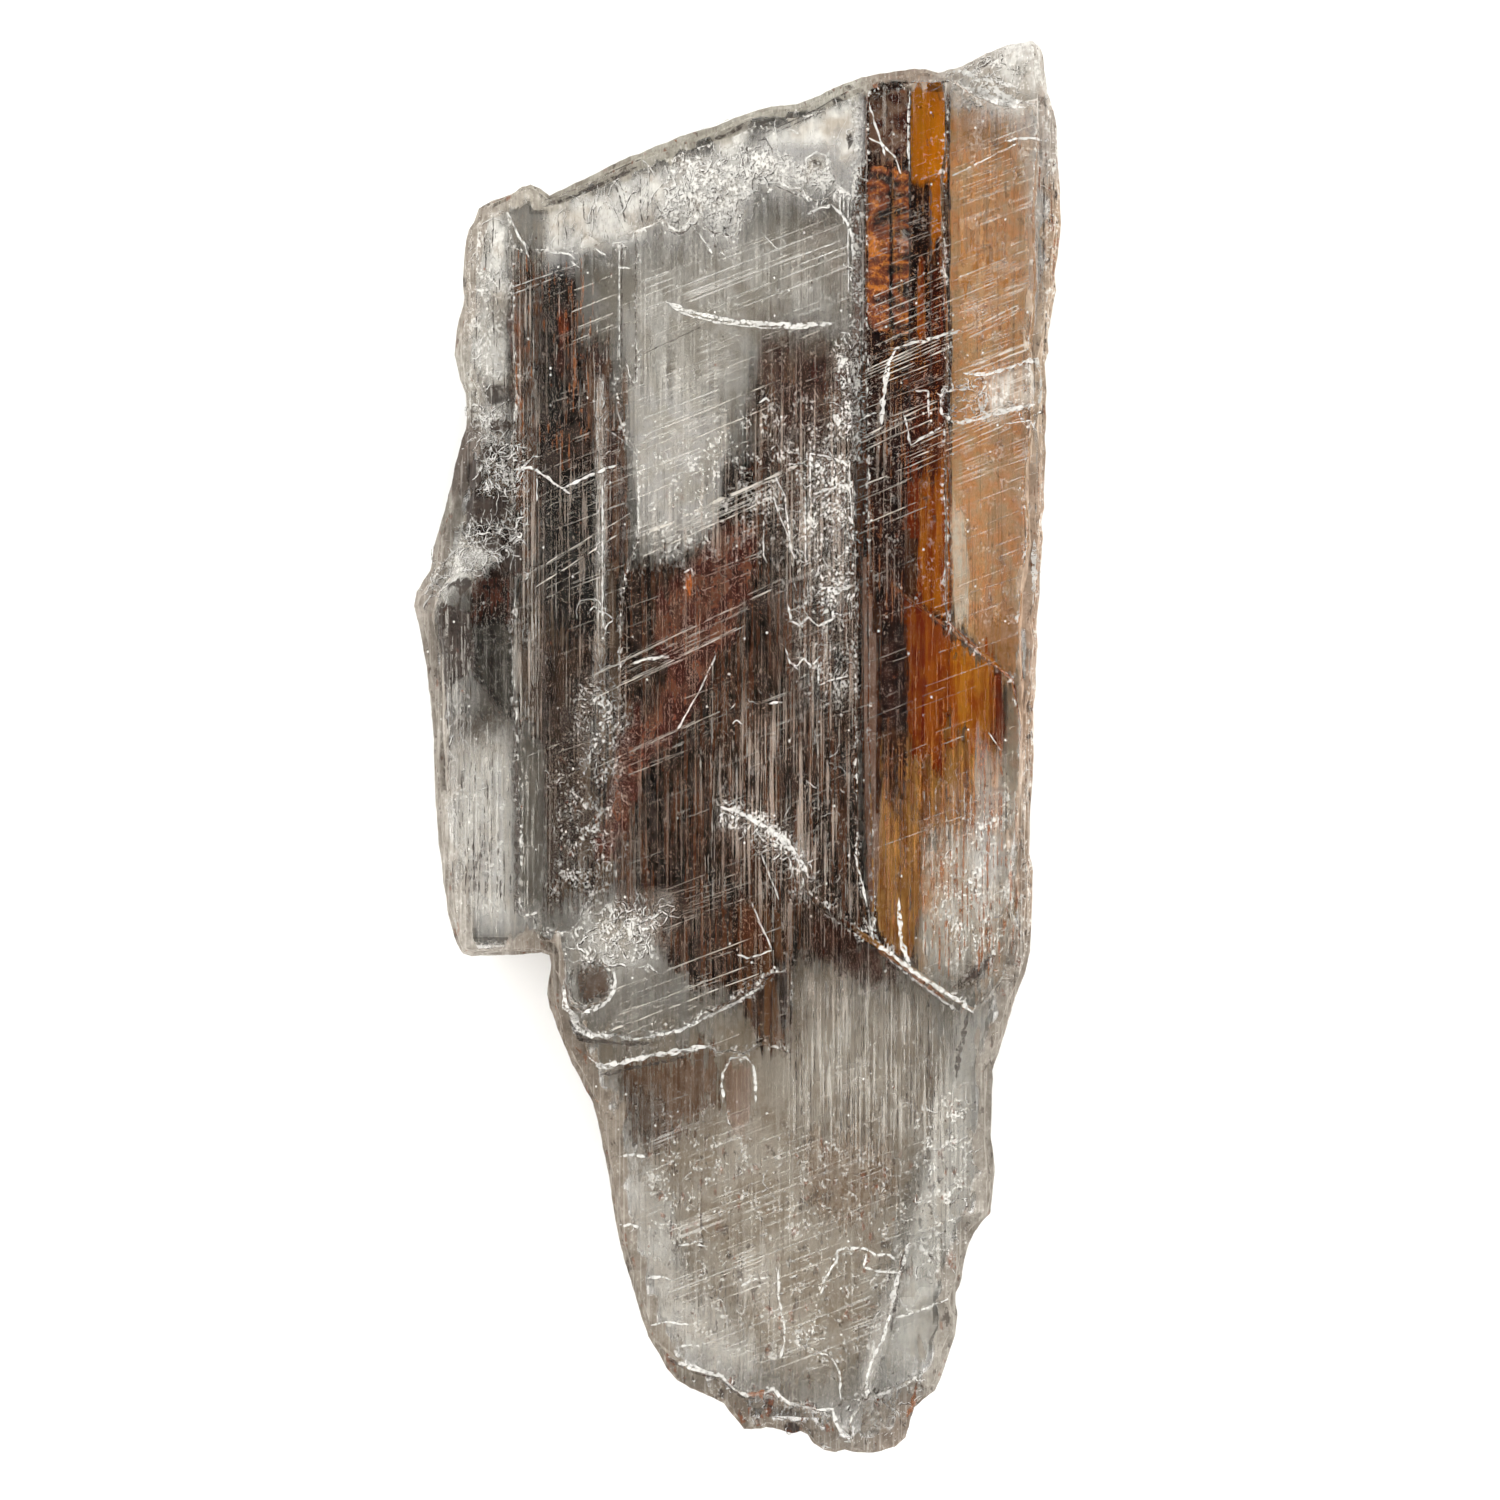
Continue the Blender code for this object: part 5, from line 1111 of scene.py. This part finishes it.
# Bundles of parallel slanted scratches: how many, their width, the two ends of the first and of the last.
BUNDLES = (
    (9, 0.08, [(10, 36), (16, 38.4), (12, 29), (18, 31.4)]),
    (9, 0.08, [(16.6, 38.6), (24.6, 41.8), (18, 34.6), (25, 37.4)]),
    (6, 0.08, [(18, 49.6), (25, 52), (18, 45.2), (25, 47.8)]),
    (5, 0.07, [(10, 44), (18, 47), (10, 41), (17, 43.6)]),
    (3, 0.16, [(-8.5, 17.4), (6, 23.8), (-8, 16.2), (4, 21.4)]),
    (4, 0.1, [(-14.5, 5), (4.2, 14), (-13, 3.4), (2, 10.6)]),
    (2, 0.09, [(-12.5, -2), (-0.3, 3.5), (-12, -3.4), (-2, 0.8)]),
    (3, 0.08, [(-8, -13), (2, -10), (-7, -15), (1, -12)]),
    (4, 0.08, [(-12, -24), (2, -20), (-11, -21.6), (-2, -18.4)]),
    (3, 0.06, [(-18, 14), (-9, 19.4), (-16, 11), (-9, 13.6)]),
    (5, 0.07, [(4, 27.6), (10.2, 30), (4, 21), (10, 23.4)]),
    (4, 0.07, [(10.6, 26), (18, 28.8), (11, 20), (17.6, 22.6)]),
    (5, 0.07, [(3, 19), (10, 21.6), (3, 12.4), (10, 15)]),
    (7, 0.08, [(6.4, -27.4), (11, -26.4), (6.6, -29.6), (12, -28.4)]),
    (3, 0.08, [(0, -50.8), (6, -48.8), (0, -52.5), (5, -51.8)]),
    (2, 0.08, [(9, -36.5), (13, -35), (9.4, -37.2), (12, -36.2)]),
    (6, 0.08, [(19, 33.8), (25.4, 36), (18.6, 30), (25, 32.4)]),
    (3, 0.06, [(-18.6, 20), (-9.6, 24.4), (-17, 18), (-9, 21)]),
    (5, 0.06, [(-8, 30), (4, 34.6), (-8, 24), (0, 27)]), (3, 0.06, [(0, 3), (9.6, 6.6), (-2, -3), (9, 1)]),
)
KEEN_BUNDLES = (
    (5, 0.09, [(10.2, 31.4), (18.9, 35.4), (10.2, 30.2), (18.9, 34)]),
    (2, 0.07, [(10.8, 34.9), (24, 40.5), (10.2, 32.9), (24.4, 39)]),
    (3, 0.08, [(18.9, 34.9), (23.8, 37.2), (19, 34), (24, 36.6)]),
    (2, 0.12, [(19.1, 31.7), (25.2, 34.2), (19.1, 31.3), (25, 33.6)]),
    (3, 0.08, [(10.2, 25.9), (17.1, 29.2), (10.2, 24.6), (17, 27.6)]),
    (6, 0.06, [(14.5, 25.4), (24.4, 29.6), (13.3, 22.5), (23, 26.8)]),
    (3, 0.07, [(10.2, 22), (14, 23.6), (10.2, 19), (15, 21)]),
    (1, 0.14, [(-8.3, 17.6), (6, 24), (-8.3, 17.4), (6, 23.8)]),
    (2, 0.08, [(-8.3, 16.6), (5, 22.4), (-8, 16), (4, 21.4)]),
    (2, 0.08, [(-14.5, 5), (4.2, 14), (-13, 3.4), (2, 10.6)]),
    (1, 0.08, [(-12.5, -2), (-0.3, 3.5), (-12.5, -2.2), (-0.3, 3.3)]),
    (2, 0.07, [(-18, 14), (-9, 19.4), (-17, 13), (-9, 18.2)]),
    (3, 0.06, [(-6, 29.4), (8, 35), (-7, 25), (4, 29.6)]),
    (2, 0.06, [(18, 48.6), (25.4, 51.6), (18, 46), (25, 48.8)]),
    (4, 0.06, [(11, 37.4), (18, 40.4), (11, 35), (18, 38)]),
    (5, 0.05, [(18.4, 40), (24.8, 42.6), (18.4, 36), (24.6, 38.4)]),
    (4, 0.05, [(18.4, 30), (25, 32.6), (18.2, 27), (24.6, 29.6)]),
    (3, 0.06, [(10.4, 29.4), (18, 32.4), (10.4, 27), (17.6, 29.8)]),
    (3, 0.06, [(-12, -21), (4, -15), (-11, -24), (2, -19)]),
    (4, 0.06, [(-6, -40), (6, -35.6), (-4, -48), (8, -43.6)]),
    (4, 0.06, [(-14, 38.2), (-10, 39.8), (-14, 34), (-10, 35.6)]),
    (3, 0.06, [(-9, 24), (-2, 27), (-9, 20), (-3, 22.6)]),
)
# Straight fibres: where they are, and which they are, how many, their length and their width.
FIBRES = (
    ([(-16.6, 40), (-13, 40), (-12.6, 24), (-16.6, 24)],
     (("rust", 45, 0.5, 0.32),)),
    ([(-19, 42), (-17, 42), (-17, 20), (-19, 20)],
     (("rust", 25, 0.5, 0.28),)),
    ([(-19.2, 42), (-9, 42), (-9, 4), (-18.8, 0)],
     (("pale", 70, 2.6, 0.06), ("dark", 50, 2.4, 0.08))),
    ([(-11.9, 30.6), (-11.1, 30.6), (-11.1, 6), (-11.9, 6)],
     (("pale", 60, 2.4, 0.08),)),
    ([(-25, 3), (-19.2, 0), (-19, -14), (-24, -15)],
     (("dark", 60, 1.5, 0.1),)),
    ([(-23, -7.6), (-19.4, -7.6), (-19.4, -12.4), (-23, -12.4)],
     (("dark", 30, 1.2, 0.14),)),
    ([(-25, 3), (-19.2, 0), (-19, -14), (-24, -15)],
     (("pale", 70, 2.5, 0.09),)),
    ([(-25.4, 11.6), (-22.4, 11), (-22.2, 4), (-25.2, 4)],
     (("pale", 26, 2, 0.08), ("dark", 30, 2, 0.1))),
    ([(-18.2, 12), (-16.4, 12), (-16.4, -13), (-18.2, -13)],
     (("pale", 60, 2.5, 0.06),)),
    ([(5, -19), (13, -19.5), (18.6, -23.6), (18.2, -33), (4, -33)],
     (("pale", 170, 3.5, 0.06), ("dark", 170, 3.2, 0.06))),
    ([(-8, -33), (14, -35), (12, -50), (-2, -52)],
     (("dark", 40, 1.6, 0.06), ("pale", 40, 1.6, 0.06))),
    ([(15.4, -5), (23.6, -5), (23.8, -17), (19, -18), (15.4, -17)],
     (("rust", 110, 2.2, 0.12),)),
    ([(15.4, -4), (23.6, -4), (23.8, -17), (19, -18), (15.4, -17)],
     (("pale", 110, 1.8, 0.12),)),
    ([(15.4, 2), (23.6, 2), (23.8, -17), (19, -18), (15.4, -17)],
     (("dark", 40, 1.4, 0.08),)),
    ([(14.6, 10), (21.8, 6), (22, -6), (15, -6)],
     (("rust", 70, 2.2, 0.1),)),
    ([(12.2, 0), (15.4, 0), (15.2, -17), (12.2, -15)],
     (("rust", 50, 2.4, 0.08), ("dark", 60, 1.6, 0.08))),
    ([(3, 26), (10.3, 26), (10.4, 4), (5, 4)],
     (("pale", 70, 2.2, 0.06),)),
    ([(-4, 4), (10.3, 4), (10.8, -14), (5, -18), (-4, -12)],
     (("pale", 90, 2.8, 0.06),)),
    ([(10.9, 30), (17.6, 30), (17.6, 10), (14, 12), (10.8, 10)],
     (("rust", 50, 2.6, 0.08),)),
    ([(-19.2, 42), (-12, 40), (-12, 24), (-18.6, 26)],
     (("rust", 60, 2, 0.1),)),
    ([(25.2, 50), (27.2, 50), (26.4, 10), (26, -14), (23.6, -14), (24.6, 8)],
     (("dark", 60, 1.5, 0.09), ("rust", 50, 1.4, 0.1), ("pale", 70, 1.8, 0.1))),
    ([(-23.4, 44), (-19.4, 45), (-19.2, 28), (-23, 28)],
     (("pale", 60, 1.8, 0.08), ("dark", 40, 1.4, 0.08))),
)


def ribbon(mesh, points, width, chance, step=RIBBON_STEP, shift=(0, 0), lift=RIBBON_LIFT):
    """Adds a ragged ribbon along some points to a mesh, laid on the skin and broken at its ledges."""
    places = []
    for start, end in zip(points, points[1:]):
        count = max(1, round(math.dist(start, end) / step))
        places += [Vector(start).lerp(Vector(end), i / count) for i in range(count)]
    places.append(Vector(points[-1]))
    ragged = chance.uniform(0, 90)
    before, before_height = None, None
    for i, place in enumerate(places):
        along = (places[min(i + 1, len(places) - 1)] - places[max(i - 1, 0)]).normalized()
        across = Vector((-along.y, along.x))
        place = place + across * noise.noise(Vector((ragged, i * 0.3, 0))) * min(0.12, width * 0.5)
        place += Vector(shift)
        ends = min(1, (min(i, len(places) - 1 - i) + 0.3) * step / (width * 2))
        half = width / 2 * ends * (0.75 + 0.9 * noise.noise(Vector((ragged, i * 0.45, 5))))
        sides = [place - across * half, place + across * half]
        height = max([skin_height(*at) for at in (sides[0] - across * 0.15, place, sides[1] + across * 0.15)])
        if math.isnan(height):
            before = None
            continue
        rim = [mesh.verts.new(Vector((*side, height + lift)) * MM) for side in sides]
        if before and abs(height - before_height) < LEDGE:
            mesh.faces.new((before[0], rim[0], rim[1], before[1]))
        before, before_height = rim, height


def curl(light, dark, start, length, width, turn, upright, chance):
    """Adds a small crooked ridge, with a painted shadow: a dark copy of it moved down to the right."""
    heading = math.pi / 2 + chance.gauss(0, 0.15) if upright else chance.uniform(0, 2 * math.pi)
    points = [start]
    for step in range(max(2, round(length / CURL_STEP))):
        heading += chance.gauss(0, turn)
        x, y = points[-1]
        points.append((x + CURL_STEP * math.cos(heading), y + CURL_STEP * math.sin(heading)))
    width *= chance.lognormvariate(0, 0.4)
    ribbon(light, points, width, chance, CURL_STEP, lift=chance.uniform(0.05, 0.14))
    ribbon(dark, points, width * 0.9, chance, CURL_STEP, shift=(width * 0.7, -width * 0.6), lift=0.04)


def scattered(outline, count, chance):
    """Random places inside an outline."""
    (left, bottom), (right, top) = np.min(outline, 0), np.max(outline, 0)
    tries = np.array([(chance.uniform(left, right), chance.uniform(bottom, top)) for _ in range(count * 8)])
    return [tuple(place) for place in tries[depth_in(tries, outline) > 0][:count]]


def line_finish(name, colour, per_mm, cover):
    material, shader, start = new_finish(name)
    worn = start.grain((per_mm, per_mm, per_mm), detail=3, roughness=0.6)
    tone = start.grain((0.8, 0.8, 0.8), detail=2).smooth(0.3, 0.7)
    plug(tone.mix(seen_outside(colour), seen_outside([each * 0.86 for each in colour])), shader, "Base Color")
    plug(worn.smooth(0.36, 0.52) * cover, shader, "Alpha")
    shader.inputs["Roughness"].default_value = 0.6
    return material


chance = random.Random(11)
white, dark, scratched, keen, rusted = (bmesh.new() for _ in range(5))
for width, points in WHITE_LINES:
    ribbon(white, points, width, chance)
for width, points in DARK_LINES_AND_SHADOWS:
    ribbon(dark, points, width, chance)
for width, points in RUST_LINES:
    ribbon(rusted, points, width, chance)
# Each kind of bundle: its table, its mesh, how often each row is drawn, where its scratches begin and end at
# the latest and the earliest, from 0 to 1, and how much wider they are than the table says.
for table, mesh, times, begun, ended, wider in (
        (BUNDLES, scratched, 2, 0.4, 0.55, 1), (KEEN_BUNDLES, keen, 1, 0.1, 0.88, 1.9)):
    for count, width, (start_a, end_a, start_b, end_b) in table:
        for i in range(count * times):
            share = (i + chance.uniform(-0.35, 0.35)) / max(count * times - 1, 1)
            start = Vector(start_a).lerp(Vector(start_b), share)
            end = Vector(end_a).lerp(Vector(end_b), share)
            cut = chance.uniform(0, begun), chance.uniform(ended, 1)
            thick = width * chance.uniform(0.4, 1.0) * wider
            ribbon(mesh, [start.lerp(end, cut[0]), start.lerp(end, cut[1])], thick, chance, 0.5)
for count, length, width, turn, upright, outline in CURLS:
    for place in scattered(outline, round(count * 1.5), chance):
        hollow = max(depth_in(np.array([place]), each)[0] for _, each in SHADED_HOLLOWS) > 0
        if not hollow or chance.random() < CURLS_IN_HOLLOWS:
            long, wide = length * chance.lognormvariate(-0.2, 0.5), width * chance.uniform(0.3, 0.9)
            curl(white, dark, place, long, wide, turn, upright, chance)
for outline, rows in FIBRES:
    for kind, count, length, width in rows:
        mesh = {"pale": scratched, "dark": dark, "rust": rusted}[kind]
        for x, y in scattered(outline, count, chance):
            half = length * chance.lognormvariate(-0.2, 0.6) / 2
            wide = width * chance.uniform(0.6, 1.5)
            ribbon(mesh, [(x, y - half), (x, y + half)], wide, chance, 0.35, lift=0.03)
for place in scattered(SCRATCHED, LONE_SCRATCHES, chance):
    far = chance.uniform(1.5, 9)
    rise = far * math.sin(SCRATCH_SLANT + chance.gauss(0, 0.03))
    end = (place[0] + far * math.cos(SCRATCH_SLANT), place[1] + rise)
    ribbon(scratched, [place, end], chance.uniform(0.03, 0.08), chance, 0.6)
new_piece("fine_scratches", scratched, line_finish("scratched_gypsum", (232, 226, 216), 1.2, 0.45))
new_piece("long_scratches", keen, line_finish("cut_gypsum", (240, 232, 220), 0.9, 0.72))
new_piece("iron_threads", rusted, line_finish("iron_threads", (156, 92, 46), 1.6, 0.7))
new_piece("white_cracks", white, line_finish("broken_gypsum", (242, 240, 235), 3.0, 0.95))
# Dark cracks and fibres, and the painted shadows of ledges, crust lobes and ridges.
new_piece("dark_cracks_and_shadows", dark, line_finish("dark_cracks_and_shadows", (74, 62, 55), 2.4, 0.75))


# ---- The floor, the lights and the camera ----------------------------------------------------------------
# The blade lies on a sheet of pale paper under a large soft tent of light, with the camera straight above
# it, because it is loose and can't stand.
FLOOR_SIDE = 4000.0
FLOOR_DROP = 0.05
VIEW_MIDDLE = (1.06, -0.26)
VIEW_WIDTH = 127.66
VIEW_HEIGHT = 4.5
LENS = 150.0
SENSOR = 36.0
TENT_LIGHT = 3.9
TENT_WARMTH = (1.0, 0.985, 0.955)
TENT_TOP_LIGHT = 0.08  # the hole in the tent that the camera looks through

floor_mesh = bmesh.new()
bmesh.ops.create_grid(floor_mesh, x_segments=2, y_segments=2, size=FLOOR_SIDE / 2 * MM)
floor_data = bpy.data.meshes.new("floor")
floor_mesh.to_mesh(floor_data)
floor_mesh.free()
floor = bpy.data.objects.new("floor", floor_data)
floor.location.z = -FLOOR_DROP * MM
bpy.context.scene.collection.objects.link(floor)
paper, shader, start = new_finish("pale_floor")
shader.inputs["Base Color"].default_value = (0.92, 0.92, 0.92, 1)
shader.inputs["Roughness"].default_value = 0.9
shader.inputs["Specular IOR Level"].default_value = 0.1
floor_data.materials.append(paper)

world = bpy.data.worlds.new("soft_tent")
world.use_nodes = True
# Aiming rays at the tent is no use, because most start inside the blade, so they find it by themselves.
world.cycles.sampling_method = "NONE"
bpy.context.scene.world = world
sky = Wire(world.node_tree)
height = sky.add("SeparateXYZ", {}, {"Vector": sky.add("TexCoord", output="Generated")}, "Z")
plug(height.smooth(0.60, 0.86, TENT_LIGHT, TENT_TOP_LIGHT), world.node_tree.nodes["Background"], "Strength")
world.node_tree.nodes["Background"].inputs["Color"].default_value = (*TENT_WARMTH, 1)

camera_data = bpy.data.cameras.new("camera")
camera_data.lens = LENS
camera_data.sensor_width = SENSOR
camera = bpy.data.objects.new("camera", camera_data)
camera.location = Vector((*VIEW_MIDDLE, VIEW_HEIGHT + VIEW_WIDTH * LENS / SENSOR)) * MM
bpy.context.scene.collection.objects.link(camera)
bpy.context.scene.camera = camera
bpy.context.scene.view_settings.view_transform = "Standard"
